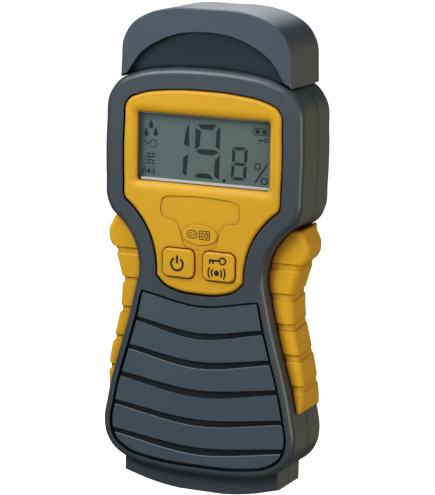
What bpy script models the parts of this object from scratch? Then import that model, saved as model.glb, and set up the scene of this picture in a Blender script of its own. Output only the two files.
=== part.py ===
"""Hand-held moisture meter, standing on its foot: shells, bezel, display, keys, grips, electrodes, cap.

X is width, Y is depth (the display faces -Y) and Z is height. Depths are measured back from the front
face and turned into Y by back(). Outlines are lists of (x, z).
"""

import math

import bmesh
import bpy
from mathutils import Vector

MM = 0.001

# Clearances and walls
GAP = 0.3 * MM
WALL = 2.2 * MM
FRONT_PLATE = 3.0 * MM
BACK_PLATE = 2.2 * MM

# Body, by half-widths and heights
BODY_DEPTH = 26.0 * MM
SEAM = 13.2 * MM
BODY_BOTTOM = 6.7 * MM
FLARE_HALF = 35.4 * MM
FLARE_Z = 22.0 * MM
WAIST_HALF = 23.1 * MM
WAIST_Z = 77.0 * MM
HEAD_HALF = 35.8 * MM
SHOULDER_Z = 97.0 * MM
HEAD_TOP = 145.0 * MM
FRONT_ROUND = 1.4 * MM
BACK_ROUND = 3.0 * MM
OUTLINE_STEP = 3.2 * MM

# Foot
FOOT_HALF = 28.7 * MM
FOOT_NEAR = 5.6 * MM
FOOT_FAR = 23.0 * MM
FOOT_FLAT_HALF = 8.0 * MM
FOOT_RISE = 4.1 * MM
FOOT_TOP = 11.0 * MM

# Bezel
BEZEL_RIM = 6.8 * MM
BEZEL_THICK = 2.5 * MM
BEZEL_STEP = 1.8 * MM
BEZEL_FLANGE = 1.2 * MM
BEZEL_BOTTOM = 69.3 * MM
BEZEL_CORNER_Z = 75.2 * MM
CREST_SUNK = 0.22 * MM
CREST_HALF = 14.3 * MM
CREST_TOP = 102.4 * MM
CREST_BOTTOM = 84.2 * MM
BADGE_HALF = 6.2 * MM
BADGE_HALF_HEIGHT = 3.2 * MM
BADGE_Z = 89.6 * MM

# Display
WINDOW_HALF = 24.0 * MM
WINDOW_LOW = 106.1 * MM
WINDOW_HIGH = 129.1 * MM
WINDOW_SLOPE = 3.0 * MM
WINDOW_LIP = 1.3 * MM
WINDOW_SEAT = 1.5 * MM
WINDOW_THICK = 1.0 * MM
GLASS_DEPTH = 3.5 * MM
GLASS_THICK = 1.4 * MM
GLASS_MARGIN = 1.4 * MM
FRAME_DEPTH = 3.0 * MM
FRAME_RIM = 1.0 * MM
ZEBRA_HEIGHT = 1.6 * MM

# Keys and their switches
BUTTON_HALF = 5.8 * MM
BUTTON_HALF_HEIGHT = 4.9 * MM
BUTTON_WEB_HALF = 0.8 * MM
BUTTON_Z = 79.5 * MM
BUTTON_CORNER = 2.2 * MM
BUTTON_PROUD = 1.5 * MM
BUTTON_FLANGE = 0.8 * MM
BUTTON_FLANGE_THICK = 0.9 * MM
BUTTON_TRAVEL = 0.8 * MM
SWITCH_HALF = 3.0 * MM
SWITCH_BODY = 2.0 * MM
PLUNGER_RADIUS = 1.7 * MM

# Boards and what they carry
BOARD_DEPTH = 8.0 * MM
BOARD_THICK = 1.6 * MM
BOARD_HALF = 26.4 * MM
BOARD_STEM_HALF = 17.0 * MM
BOARD_STEM_TOP = 93.0 * MM
BOARD_BOTTOM = 67.5 * MM
BOARD_TOP_BELOW_HEAD = 8.6 * MM
POST_RADIUS = 2.0 * MM
POST_X = 15.0 * MM
POST_LOW_Z = 96.5 * MM
CHIP_HALF = 5.0 * MM
CHIP_THICK = 1.6 * MM
CHIP_AT = (-11.0 * MM, 116.0 * MM)
BUZZER_RADIUS = 6.0 * MM
BUZZER_HEIGHT = 5.5 * MM
BUZZER_AT = (11.0 * MM, 114.0 * MM)

# Screws
SCREW_RADIUS = 1.2 * MM
SCREW_HEAD_RADIUS = 2.2 * MM
SCREW_HEAD = 1.6 * MM
SCREW_SEAT = 19.5 * MM
SCREW_TIP = 5.5 * MM
BOSS_RADIUS = 2.6 * MM
TOP_BOSS_INSET = 5.6 * MM
TOP_BOSS_BELOW_HEAD = 14.0 * MM
LOW_BOSS_X = 24.5 * MM
LOW_BOSS_Z = 22.0 * MM
BOARD_SCREW_RADIUS = 0.8 * MM
BOARD_SCREW_HEAD_RADIUS = 1.6 * MM
BOARD_SCREW_HEAD = 1.0 * MM

# Pad with its steps
PAD_RIM = 3.3 * MM
PAD_POCKET = 2.0 * MM
PAD_FACE = 0.15 * MM
PAD_CORNER_Z = 68.3 * MM
PAD_TOP_SAG = 3.3 * MM
STEP_COUNT = 5
STEP_FIRST_Z = 59.4 * MM
STEP_PITCH = 9.95 * MM
STEP_SAG = 3.3 * MM
STEP_SLOT = 2.3 * MM
STEP_DEPTH = 1.0 * MM
STEP_END = 1.0 * MM

# Side grips: how far they bulge past the body's edge at each height, their lean and their bands
GRIP_NEAR = 5.3 * MM
GRIP_FAR = 24.0 * MM
GRIP_ROUND = 2.4 * MM
GRIP_FRONT_SPREAD = 1.4 * MM
GRIP_BACK_DRAFT = 0.6 * MM
GRIP_FULL_BULGE = 3.0 * MM
GRIP_BULGE = (
    (31.0 * MM, 0.9 * MM),
    (36.0 * MM, 2.2 * MM),
    (45.0 * MM, 3.6 * MM),
    (62.0 * MM, 4.8 * MM),
    (70.2 * MM, 6.3 * MM),
    (76.3 * MM, 8.7 * MM),
    (80.6 * MM, 9.7 * MM),
    (83.8 * MM, 10.8 * MM),
    (86.5 * MM, 9.9 * MM),
    (90.6 * MM, 5.4 * MM),
    (93.0 * MM, 1.8 * MM),
)
GRIP_BAND_FIRST = 39.5 * MM
GRIP_BAND_PITCH = 10.25 * MM
GRIP_BANDS = 5
GRIP_BAND_HALF = 1.15 * MM
GRIP_BAND_DEPTH = 0.5 * MM
GRIP_STEP = 1.6 * MM

# Neck, electrodes and cap (the neck slips into the cap)
NECK_SLIP = 0.4 * MM
NECK_ABOVE_HEAD = 4.0 * MM
NECK_BELOW_HEAD = 8.0 * MM
NECK_CORNER = 3.0 * MM
PIN_X = 12.5 * MM
PIN_RADIUS = 1.1 * MM
PIN_ABOVE_HEAD = 14.0 * MM
PIN_BELOW_NECK = 3.0 * MM
PIN_TAPER = 3.0 * MM
NUT_RADIUS = 2.9 * MM
NUT_HEIGHT = 2.4 * MM
CAP_NEAR = 1.3 * MM
CAP_WALL = 2.2 * MM
CAP_INSET = 5.0 * MM
CAP_TOP_ABOVE_HEAD = 19.6 * MM
CAP_EDGE_ABOVE_HEAD = 0.6 * MM
CAP_CORNER_BELOW_HEAD = 4.7 * MM
CAP_ROUND = 1.4 * MM
SCALLOP_DEPTH = 0.8 * MM
SCALLOP_TOP_ABOVE_HEAD = 12.0 * MM

# Battery, its bay and door
BATTERY_WIDTH = 26.5 * MM
BATTERY_THICK = 17.5 * MM
BATTERY_HEIGHT = 46.0 * MM
BATTERY_Z = 12.4 * MM
BATTERY_ROUND = 1.6 * MM
STUD_RADIUS = 2.9 * MM
STUD_HEIGHT = 2.4 * MM
STUD_X = 6.35 * MM
SNAP_THICK = 4.6 * MM
BAY_WALL = 1.4 * MM
BAY_NEAR = 4.5 * MM
DOOR_SPARE = 6.0 * MM
DOOR_THICK = 2.0 * MM
DOOR_GROOVES = 3
DOOR_GROOVE_HALF = 6.0 * MM
DOOR_GROOVE_DEPTH = 0.6 * MM
DOOR_GROOVE_HEIGHT = 1.2 * MM
DOOR_GROOVE_TOP = 5.0 * MM
DOOR_GROOVE_PITCH = 2.4 * MM
FOAM_HALF = 9.0 * MM
FOAM_HALF_HEIGHT = 16.0 * MM
LEAD_RADIUS = 0.6 * MM
LEAD_X = 3.5 * MM

ROUND_SIDES = 24
SHARP_ANGLE = math.radians(32)

# Sizes that follow from those above
MIDDLE = (BODY_DEPTH - BUTTON_PROUD) / 2
BUTTON_X = BUTTON_HALF + BUTTON_FLANGE + BUTTON_WEB_HALF
NECK_TOP = HEAD_TOP + NECK_ABOVE_HEAD
NECK_LOW = HEAD_TOP - NECK_BELOW_HEAD
BOARD_TOP = HEAD_TOP - BOARD_TOP_BELOW_HEAD
POST_TOP_Z = BOARD_TOP - POST_RADIUS
BOARD_BACK = BOARD_DEPTH + BOARD_THICK
CAP_HALF = HEAD_HALF - CAP_INSET
NECK_HALF = CAP_HALF - CAP_WALL - NECK_SLIP
NECK_NEAR = CAP_NEAR + CAP_WALL + NECK_SLIP
NECK_FAR = BODY_DEPTH - CAP_WALL - NECK_SLIP
CAP_TOP = HEAD_TOP + CAP_TOP_ABOVE_HEAD
CAP_LOW = HEAD_TOP - CAP_CORNER_BELOW_HEAD
PIN_Y = (NECK_NEAR + NECK_FAR) / 2
PIN_LOW = NECK_LOW - PIN_BELOW_NECK
GLASS_HALF = WINDOW_HALF + GLASS_MARGIN
GLASS_LOW = WINDOW_LOW - GLASS_MARGIN
GLASS_HIGH = WINDOW_HIGH + GLASS_MARGIN
BAY_HALF = BATTERY_WIDTH / 2 + GAP
BAY_LOW = BATTERY_Z - GAP
BATTERY_NEAR = FRONT_PLATE + GAP
BATTERY_FAR = BATTERY_NEAR + BATTERY_THICK
BATTERY_TOP = BATTERY_Z + BATTERY_HEIGHT
DOOR_LOW = BAY_LOW + GAP
DOOR_TOP = BATTERY_TOP + DOOR_SPARE
DOOR_NEAR = BODY_DEPTH - DOOR_THICK
TOP_BOSS_X = HEAD_HALF - TOP_BOSS_INSET
TOP_BOSS_Z = HEAD_TOP - TOP_BOSS_BELOW_HEAD
SCREW_PLACES = (
    (-TOP_BOSS_X, TOP_BOSS_Z),
    (TOP_BOSS_X, TOP_BOSS_Z),
    (-LOW_BOSS_X, LOW_BOSS_Z),
    (LOW_BOSS_X, LOW_BOSS_Z),
)
POST_PLACES = ((0.0, POST_TOP_Z), (-POST_X, POST_LOW_Z), (POST_X, POST_LOW_Z))


# ---------------------------------------------------------------- outlines


def back(depth):
    """The Y of a place this far behind the front face."""
    return depth - MIDDLE


def slopes(points, closed):
    """The direction of a smooth line at each of its points."""
    found = []
    last = len(points) - 1
    for i, point in enumerate(points):
        before = points[i - 1] if closed or i > 0 else point
        after = points[(i + 1) % len(points)] if closed or i < last else point
        near = (point - before).length
        far = (after - point).length
        if near == 0 or far == 0:
            found.append((after - before).normalized())
            continue
        bend = (point - before) / near * far + (after - point) / far * near
        found.append(bend / (near + far))
    return found


def curve(points, closed=False, step=OUTLINE_STEP):
    """Evenly spaced points on a smooth line through the given ones."""
    points = [Vector(point) for point in points]
    headings = slopes(points, closed)
    count = len(points)
    line = []
    for i in range(count if closed else count - 1):
        start, end = points[i], points[(i + 1) % count]
        reach = (end - start).length
        parts = max(1, round(reach / step))
        for part in range(parts):
            t = part / parts
            line.append(
                start * (2 * t**3 - 3 * t**2 + 1)
                + headings[i] * reach * (t**3 - 2 * t**2 + t)
                + end * (3 * t**2 - 2 * t**3)
                + headings[(i + 1) % count] * reach * (t**3 - t**2)
            )
    if not closed:
        line.append(points[-1])
    return line


def both_sides(right):
    """A whole outline from its right half, which runs from the bottom centre to the top centre."""
    left = [(-x, z) for x, z in reversed(right) if x > 0]
    return list(right) + left


def inset(outline, distance, keep_all=False):
    """The outline moved inwards (outwards if negative), without the points that a tight corner folds."""
    moved = []
    count = len(outline)
    for i, point in enumerate(outline):
        into = (point - outline[i - 1]).normalized()
        out_of = (outline[(i + 1) % count] - point).normalized()
        normal = Vector((-into.y - out_of.y, into.x + out_of.x)).normalized()
        lean = max(0.5, normal.dot(Vector((-into.y, into.x))))
        moved.append(point + normal * (distance / lean))
    if keep_all:
        return moved
    return [point for point in moved if far_from(point, outline) > abs(distance) * 0.985]


def far_from(point, outline):
    """The distance from a point to an outline."""
    nearest = []
    for i, end in enumerate(outline):
        start = outline[i - 1]
        along = end - start
        t = max(0.0, min(1.0, (point - start).dot(along) / along.length_squared))
        nearest.append((point - start - along * t).length)
    return min(nearest)


def turned_to(outline, first):
    """The same closed outline, starting at the point that comes first by the given measure."""
    start = outline.index(min(outline, key=first))
    return outline[start:] + outline[:start]


def rounded_box(half_x, half_z, radius, centre=(0.0, 0.0), steps=5):
    """A rectangle's outline with round corners."""
    outline = []
    for corner in range(4):
        turn = math.radians(90 * corner - 90)
        sign_x = 1 if corner in (0, 1) else -1
        sign_z = 1 if corner in (1, 2) else -1
        for i in range(steps + 1):
            angle = turn + math.radians(90) * i / steps
            x = centre[0] + sign_x * (half_x - radius) + radius * math.cos(angle)
            z = centre[1] + sign_z * (half_z - radius) + radius * math.sin(angle)
            outline.append(Vector((x, z)))
    return outline


def oval(centre, half_x, half_z, sides=ROUND_SIDES):
    """An ellipse's outline."""
    angles = [2 * math.pi * i / sides for i in range(sides)]
    return [
        Vector((centre[0] + half_x * math.cos(a), centre[1] + half_z * math.sin(a)))
        for a in angles
    ]


def box_outline(low_x, high_x, low_z, high_z):
    """A plain rectangle's outline."""
    corners = ((low_x, low_z), (high_x, low_z), (high_x, high_z), (low_x, high_z))
    return [Vector(corner) for corner in corners]


def body_outline():
    """The hourglass outline of the body."""
    right = (
        (0.0, BODY_BOTTOM),
        (FLARE_HALF - 19 * MM, BODY_BOTTOM + 0.7 * MM),
        (FLARE_HALF - 8.2 * MM, BODY_BOTTOM + 3.1 * MM),
        (FLARE_HALF - 3.3 * MM, BODY_BOTTOM + 6.4 * MM),
        (FLARE_HALF - 0.7 * MM, BODY_BOTTOM + 10.8 * MM),
        (FLARE_HALF, FLARE_Z),
        (FLARE_HALF - 1.2 * MM, FLARE_Z + 8.2 * MM),
        (WAIST_HALF + 1.9 * MM, WAIST_Z - 10.8 * MM),
        (WAIST_HALF, WAIST_Z),
        (WAIST_HALF + 2.2 * MM, WAIST_Z + 8.8 * MM),
        (HEAD_HALF - 5.9 * MM, SHOULDER_Z - 5.1 * MM),
        (HEAD_HALF - 2.2 * MM, SHOULDER_Z - 1.8 * MM),
        (HEAD_HALF - 0.4 * MM, SHOULDER_Z + 2.2 * MM),
        (HEAD_HALF, SHOULDER_Z + 9 * MM),
        (HEAD_HALF, HEAD_TOP - 20 * MM),
        (HEAD_HALF - 0.8 * MM, HEAD_TOP - 11 * MM),
        (HEAD_HALF - 4.2 * MM, HEAD_TOP - 6 * MM),
        (HEAD_HALF - 12 * MM, HEAD_TOP - 2.3 * MM),
        (HEAD_HALF - 22 * MM, HEAD_TOP - 0.6 * MM),
        (0.0, HEAD_TOP),
    )
    return curve(both_sides(right), closed=True)


def half_width(outline, height):
    """The right-hand half-width of an outline at a height between its bottom and top corners."""
    ends = []
    for i, end in enumerate(outline):
        start = outline[i - 1]
        if start.x > 0 and end.x > 0 and start.y <= height < end.y:
            t = (height - start.y) / (end.y - start.y)
            ends.append(start.x + (end.x - start.x) * t)
    return max(ends)


def bulge(height):
    """How far a side grip stands out past the body's edge at this height, and 0 off its ends."""
    line = curve(GRIP_BULGE, step=1 * MM)
    for start, end in zip(line, line[1:]):
        if start.x <= height <= end.x:
            return start.y + (end.y - start.y) * (height - start.x) / (end.x - start.x)
    return 0.0


def bezel_outline():
    """The bezel: the body's outline moved in by its rim, closed by a shallow bowl at the waist."""
    line = turned_to(inset(body_outline(), BEZEL_RIM), lambda point: point.y)
    sides = [point for point in line if point.y > BEZEL_CORNER_Z]
    end = sides[-1].x
    bowl = curve(
        (
            (end, BEZEL_CORNER_Z - 0.6 * MM),
            (end + 2.6 * MM, BEZEL_BOTTOM + 2.6 * MM),
            (end / 2, BEZEL_BOTTOM + 0.6 * MM),
            (0.0, BEZEL_BOTTOM),
            (-end / 2, BEZEL_BOTTOM + 0.6 * MM),
            (-end - 2.6 * MM, BEZEL_BOTTOM + 2.6 * MM),
            (-end, BEZEL_CORNER_Z - 0.6 * MM),
        )
    )
    return sides + bowl


def pad_outline():
    """The pad: the body's outline moved in by its rim, closed by a sagging top edge."""
    line = turned_to(inset(body_outline(), PAD_RIM), lambda point: -point.y)
    sides = [point for point in line if point.y < PAD_CORNER_Z - 1 * MM]
    corner = half_width(line, PAD_CORNER_Z)
    top = curve(
        (
            (corner, PAD_CORNER_Z),
            (0.0, PAD_CORNER_Z - PAD_TOP_SAG),
            (-corner, PAD_CORNER_Z),
        )
    )
    return sides + top


def step_outline(number):
    """The crescent slot under one of the pad's steps."""
    end_z = STEP_FIRST_Z - number * STEP_PITCH
    half = half_width(pad_outline(), end_z) - STEP_END
    upper = curve(((half, end_z), (0.0, end_z - STEP_SAG), (-half, end_z)))
    low_centre = end_z - STEP_SAG - STEP_SLOT
    low_end = end_z - GAP
    lower = curve(((-half, low_end), (0.0, low_centre), (half, low_end)))
    return lower + upper


def foot_outline():
    """The foot: a shallow bowl with a flat middle that carries the standing meter."""
    low = curve(
        (
            (FOOT_FLAT_HALF, 0.0),
            ((FOOT_FLAT_HALF + FOOT_HALF) / 2, FOOT_RISE * 0.34),
            (FOOT_HALF, FOOT_RISE),
        ),
        step=5 * MM,
    )
    right = low + [Vector((FOOT_HALF, FOOT_TOP))]
    return right + [Vector((-x, z)) for x, z in reversed(right)]


def crest_outline():
    """The stepped shield under the display."""
    right = (
        (0.0, CREST_BOTTOM),
        (CREST_HALF - 9.5 * MM, CREST_BOTTOM + 0.2 * MM),
        (CREST_HALF - 8.1 * MM, CREST_BOTTOM + 2 * MM),
        (CREST_HALF - 6.1 * MM, CREST_BOTTOM + 9 * MM),
        (CREST_HALF, CREST_BOTTOM + 10.6 * MM),
        (CREST_HALF, CREST_TOP - 1.4 * MM),
        (CREST_HALF - 1.4 * MM, CREST_TOP),
    )
    return [Vector(point) for point in both_sides(right)]


def cap_outline():
    """The cap's outline: a low dome over an edge that arches with the head's top."""
    dome = (
        (CAP_HALF, CAP_LOW),
        (CAP_HALF - 0.2 * MM, CAP_LOW + 5.5 * MM),
        (CAP_HALF - 0.9 * MM, CAP_LOW + 13.2 * MM),
        (CAP_HALF - 3.5 * MM, CAP_LOW + 17.7 * MM),
        (CAP_HALF - 10.4 * MM, CAP_TOP - 2.2 * MM),
        (CAP_HALF - 17.6 * MM, CAP_TOP - 0.4 * MM),
        (0.0, CAP_TOP),
    )
    over = both_sides(dome)
    edge = inset(body_outline(), -CAP_EDGE_ABOVE_HEAD)
    arch = [point for point in edge if abs(point.x) < CAP_HALF - MM and point.y > CAP_LOW]
    return curve(over) + sorted(arch, key=lambda point: point.x)


def scallop_outline():
    """The thumb scallop on the cap's front."""
    low = CAP_LOW + 2 * MM
    top = HEAD_TOP + SCALLOP_TOP_ABOVE_HEAD
    right = (
        (CAP_HALF - 2.6 * MM, low),
        (CAP_HALF - 6.8 * MM, low + 6.2 * MM),
        (CAP_HALF - 14.2 * MM, top - 3.5 * MM),
        (CAP_HALF - 21.4 * MM, top - 0.9 * MM),
        (0.0, top),
    )
    over = curve(both_sides(right))
    under = curve(
        (
            (-CAP_HALF + 2.6 * MM, low),
            (0.0, HEAD_TOP + CAP_EDGE_ABOVE_HEAD + 1.5 * MM),
            (CAP_HALF - 2.6 * MM, low),
        )
    )
    return over[:-1] + under[:-1]


# ---------------------------------------------------------------- solids


def material(name, colour, roughness, metallic=0.0):
    """A Principled material."""
    made = bpy.data.materials.new(name)
    made.use_nodes = True
    shader = made.node_tree.nodes["Principled BSDF"]
    shader.inputs["Base Color"].default_value = (*colour, 1.0)
    shader.inputs["Roughness"].default_value = roughness
    shader.inputs["Metallic"].default_value = metallic
    made.diffuse_color = (*colour, 1.0)
    return made


def closed_mesh(rings):
    """A bmesh skinned over rings of as many points each, with its two ends closed."""
    mesh = bmesh.new()
    loops = [[mesh.verts.new(point) for point in ring] for ring in rings]
    for first, second in zip(loops, loops[1:]):
        for i in range(len(first)):
            mesh.faces.new((first[i - 1], first[i], second[i], second[i - 1]))
    mesh.faces.new(loops[0])
    mesh.faces.new(loops[-1])
    bmesh.ops.recalc_face_normals(mesh, faces=mesh.faces[:])
    return mesh


def stacked(layers):
    """A solid through (outline, depth) layers, from front to back."""
    rings = [[(x, back(depth), z) for x, z in outline] for outline, depth in layers]
    return closed_mesh(rings)


def prism(outline, near, far):
    """An outline extruded from one depth to another."""
    return stacked(((outline, near), (outline, far)))


def block(low_x, high_x, near, far, low_z, high_z):
    """A box between two widths, depths and heights."""
    return prism(box_outline(low_x, high_x, low_z, high_z), near, far)


def rod(centre, radius, near, far, sides=ROUND_SIDES):
    """A round rod along Y at (x, z)."""
    return prism(oval(centre, radius, radius, sides), near, far)


def upright(x, depth, profile, sides=ROUND_SIDES):
    """A turned piece on a vertical axis, from (radius, height) pairs."""
    rings = []
    for radius, height in profile:
        ring = oval((x, back(depth)), radius, radius, sides)
        rings.append([(point.x, point.y, height) for point in ring])
    return closed_mesh(rings)


def rounded(outline, near, far, front_round, rear_round, steps=3):
    """A prism with its front and rear edges rounded."""
    turn = [math.pi / 2 * i / steps for i in range(steps + 1)]
    front = [(near + front_round * (1 - math.cos(a)), front_round * (1 - math.sin(a))) for a in turn]
    rear = [(far - rear_round * (1 - math.sin(a)), rear_round * (1 - math.cos(a))) for a in turn]
    depths = (front if front_round else [(near, 0.0)]) + (rear if rear_round else [(far, 0.0)])
    return stacked([(inset(outline, move, keep_all=True), depth) for depth, move in depths])


def as_object(name, mesh, look=None):
    """An object from a bmesh, shaded smooth but for its sharp edges."""
    data = bpy.data.meshes.new(name)
    mesh.to_mesh(data)
    mesh.free()
    data.shade_smooth()
    data.set_sharp_from_angle(angle=SHARP_ANGLE)
    made = bpy.data.objects.new(name, data)
    bpy.context.scene.collection.objects.link(made)
    if look is not None:
        data.materials.append(look)
    return made


def change(target, mesh, operation):
    """A Boolean on the target, with a hidden helper made from the bmesh."""
    helper = as_object(f"{target.name}_{operation.lower()}_{len(target.modifiers)}", mesh)
    helper.hide_render = True
    helper.display_type = "WIRE"
    boolean = target.modifiers.new(helper.name, "BOOLEAN")
    boolean.operation = operation
    boolean.object = helper
    boolean.solver = "EXACT"


def cut(target, mesh):
    change(target, mesh, "DIFFERENCE")


def add(target, mesh):
    change(target, mesh, "UNION")


def set_origin(made, x, depth, height):
    """Moves an object's origin to a point, leaving its shape in place."""
    point = Vector((x, back(depth), height))
    for vertex in made.data.vertices:
        vertex.co -= point
    made.location = point


# ---------------------------------------------------------------- sub-parts


def front_shell(look):
    """The front half of the casing: an hourglass tray with the bezel's opening and the pad's pocket."""
    body = body_outline()
    shell = as_object("front_shell", rounded(body, 0.0, SEAM, FRONT_ROUND, 0.0), look)
    add(shell, prism(foot_outline(), FOOT_NEAR, SEAM))
    cut(shell, prism(inset(body, WALL), FRONT_PLATE, SEAM + WALL))
    bezel = bezel_outline()
    cut(shell, prism(inset(bezel, -GAP, keep_all=True), -WALL, BEZEL_STEP - GAP))
    wide = inset(bezel, -BEZEL_FLANGE - GAP, keep_all=True)
    cut(shell, prism(wide, BEZEL_STEP - 2 * GAP, FRONT_PLATE + WALL))
    cut(shell, prism(inset(pad_outline(), -GAP, keep_all=True), -WALL, PAD_POCKET))
    for x, z in SCREW_PLACES:
        add(shell, boss(x, z, FRONT_PLATE - GAP / 2 if z < WAIST_Z else FRONT_PLATE, SEAM))
        cut(shell, rod((x, z), SCREW_RADIUS + GAP, SCREW_TIP - GAP, SEAM + WALL))
    cut(shell, neck_solid(GAP))
    return shell


def boss(x, z, near, far):
    """A screw boss; an upper one is tied to the side wall by a web."""
    if z < WAIST_Z:
        return rod((x, z), BOSS_RADIUS, near, far)
    side = math.copysign(1, x)
    ring = oval((x, z), BOSS_RADIUS, BOSS_RADIUS)
    inner_half = [point for point in ring if (point.x - x) * side <= MM / 100]
    inner_half = turned_to(inner_half, lambda point: -side * point.y)
    wall = side * (HEAD_HALF - WALL / 2)
    tie = [Vector((wall, z - side * BOSS_RADIUS)), Vector((wall, z + side * BOSS_RADIUS))]
    return prism(inner_half + tie, near, far)


def neck_outline(spare):
    """The neck's section seen from above, as (x, depth from its middle)."""
    half_depth = (NECK_FAR - NECK_NEAR) / 2
    return rounded_box(NECK_HALF + spare, half_depth + spare, NECK_CORNER + spare)


def neck_solid(spare, low=NECK_LOW, high=NECK_TOP):
    """The neck, or with a clearance the opening that it passes through."""
    rings = []
    for height in (low - spare, high + spare):
        rings.append([(x, back(PIN_Y) + y, height) for x, y in neck_outline(spare)])
    return closed_mesh(rings)


def rear_shell(look):
    """The rear half of the casing, with the battery bay, the screw bosses and most of the foot."""
    body = body_outline()
    start = SEAM + GAP
    shell = as_object("rear_shell", rounded(body, start, BODY_DEPTH, 0.0, BACK_ROUND, steps=4), look)
    add(shell, prism(foot_outline(), start, FOOT_FAR))
    cut(shell, prism(inset(body, WALL), start - WALL, BODY_DEPTH - BACK_PLATE))
    add(shell, bay_walls())
    cut(shell, block(-BAY_HALF, BAY_HALF, BAY_NEAR - WALL, BODY_DEPTH + WALL, BAY_LOW, DOOR_TOP + GAP))
    for x, z in SCREW_PLACES:
        add(shell, boss(x, z, start, BODY_DEPTH - BACK_PLATE + GAP))
        cut(shell, rod((x, z), SCREW_RADIUS + GAP, start - WALL, SCREW_SEAT + GAP))
        cut(shell, rod((x, z), SCREW_HEAD_RADIUS + GAP, SCREW_SEAT, BODY_DEPTH + WALL))
    cut(shell, neck_solid(GAP))
    return shell


def bay_walls():
    """The battery bay's two walls and floor, in one U."""
    outer = BAY_HALF + BAY_WALL
    low = BAY_LOW - BAY_WALL
    return block(-outer, outer, BAY_NEAR, BODY_DEPTH - BACK_PLATE + GAP, low, BATTERY_TOP)


def front_bezel(look):
    """The bezel, flanged behind the shell, with the display's sloped opening and the keys' holes."""
    outline = bezel_outline()
    flange = inset(outline, -BEZEL_FLANGE, keep_all=True)
    layers = ((outline, 0.0), (outline, BEZEL_STEP), (flange, BEZEL_STEP), (flange, BEZEL_THICK))
    bezel = as_object("front_bezel", stacked(layers), look)
    for x, z in POST_PLACES:
        add(bezel, rod((x, z), POST_RADIUS, BEZEL_THICK - GAP, BOARD_DEPTH - GAP))
        cut(bezel, rod((x, z), BOARD_SCREW_RADIUS + GAP, BEZEL_THICK + GAP, BOARD_DEPTH))
    cut(bezel, prism(crest_outline(), -WALL, CREST_SUNK))
    add(bezel, prism(oval((0.0, BADGE_Z), BADGE_HALF, BADGE_HALF_HEIGHT), 0.0, BEZEL_STEP))
    centre_z = (WINDOW_LOW + WINDOW_HIGH) / 2
    half_z = (WINDOW_HIGH - WINDOW_LOW) / 2
    lip = rounded_box(WINDOW_HALF, half_z, 1 * MM, (0.0, centre_z))
    steep = WINDOW_SLOPE * 2
    brim = rounded_box(WINDOW_HALF + steep, half_z + steep, 1 * MM + steep, (0.0, centre_z))
    cut(bezel, stacked(((brim, -WINDOW_LIP), (lip, WINDOW_LIP), (lip, WINDOW_LIP + GAP))))
    seat = WINDOW_SEAT + GAP
    pocket = rounded_box(WINDOW_HALF + seat, half_z + seat, 1 * MM, (0.0, centre_z))
    cut(bezel, prism(pocket, WINDOW_LIP, BEZEL_THICK + WALL))
    for side in (-1, 1):
        hole = rounded_box(
            BUTTON_HALF + GAP, BUTTON_HALF_HEIGHT + GAP, BUTTON_CORNER + GAP, (side * BUTTON_X, BUTTON_Z)
        )
        cut(bezel, prism(hole, -WALL, BEZEL_THICK + WALL))
    return bezel


def display_window(look):
    """The clear window behind the bezel's lip."""
    centre = (0.0, (WINDOW_LOW + WINDOW_HIGH) / 2)
    half_z = (WINDOW_HIGH - WINDOW_LOW) / 2 + WINDOW_SEAT
    outline = rounded_box(WINDOW_HALF + WINDOW_SEAT, half_z, 1 * MM, centre)
    near = WINDOW_LIP + GAP
    return as_object("display_window", prism(outline, near, near + WINDOW_THICK), look)


def lcd_glass(look):
    """The display's glass."""
    mesh = block(-GLASS_HALF, GLASS_HALF, GLASS_DEPTH, GLASS_DEPTH + GLASS_THICK, GLASS_LOW, GLASS_HIGH)
    return as_object("lcd_glass", mesh, look)


def zebra_places():
    """The widths, depths and heights of the strip between the glass and the board."""
    near = GLASS_DEPTH + GLASS_THICK + GAP
    low = GLASS_LOW + GAP
    return (-GLASS_HALF + MM, GLASS_HALF - MM, near, BOARD_DEPTH - GAP, low, low + ZEBRA_HEIGHT)


def lcd_frame(look):
    """The tray that holds the glass against the board."""
    rim = GAP + FRAME_RIM
    outer = (-GLASS_HALF - rim, GLASS_HALF + rim, FRAME_DEPTH, BOARD_DEPTH - GAP)
    frame = as_object("lcd_frame", block(*outer, GLASS_LOW - rim, GLASS_HIGH + rim), look)
    rest = GLASS_DEPTH + GLASS_THICK + GAP
    pocket = (-GLASS_HALF - GAP, GLASS_HALF + GAP, FRAME_DEPTH - WALL, rest)
    cut(frame, block(*pocket, GLASS_LOW - GAP, GLASS_HIGH + GAP))
    low_x, high_x, near, far, low_z, high_z = zebra_places()
    slot = (low_x - GAP, high_x + GAP, near - WALL, far + WALL)
    cut(frame, block(*slot, low_z - GAP, high_z + GAP))
    return frame


def zebra_strip(look):
    """The rubber strip that joins the glass to the board."""
    return as_object("zebra_strip", block(*zebra_places()), look)


def main_board(look):
    """The circuit board: wide behind the display, with a stem down to the keys."""
    right = (
        (BOARD_STEM_HALF, BOARD_BOTTOM),
        (BOARD_STEM_HALF, BOARD_STEM_TOP),
        (BOARD_HALF, BOARD_STEM_TOP + 6 * MM),
        (BOARD_HALF, BOARD_TOP),
    )
    outline = [Vector(point) for point in both_sides(right)]
    board = as_object("main_board", prism(outline, BOARD_DEPTH, BOARD_BACK), look)
    for x, z in POST_PLACES:
        cut(board, rod((x, z), BOARD_SCREW_RADIUS + GAP, BOARD_DEPTH - MM, BOARD_BACK + MM))
    return board


def board_screw(number, place, look):
    """A screw through the board into one of the bezel's posts."""
    x, z = place
    head = BOARD_BACK + GAP
    screw = rod(place, BOARD_SCREW_RADIUS, BEZEL_THICK + 2 * GAP, head + BOARD_SCREW_HEAD / 2, 12)
    made = as_object(f"board_screw_{number}", screw, look)
    add(made, rod((x, z), BOARD_SCREW_HEAD_RADIUS, head, head + BOARD_SCREW_HEAD))
    return made


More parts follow.
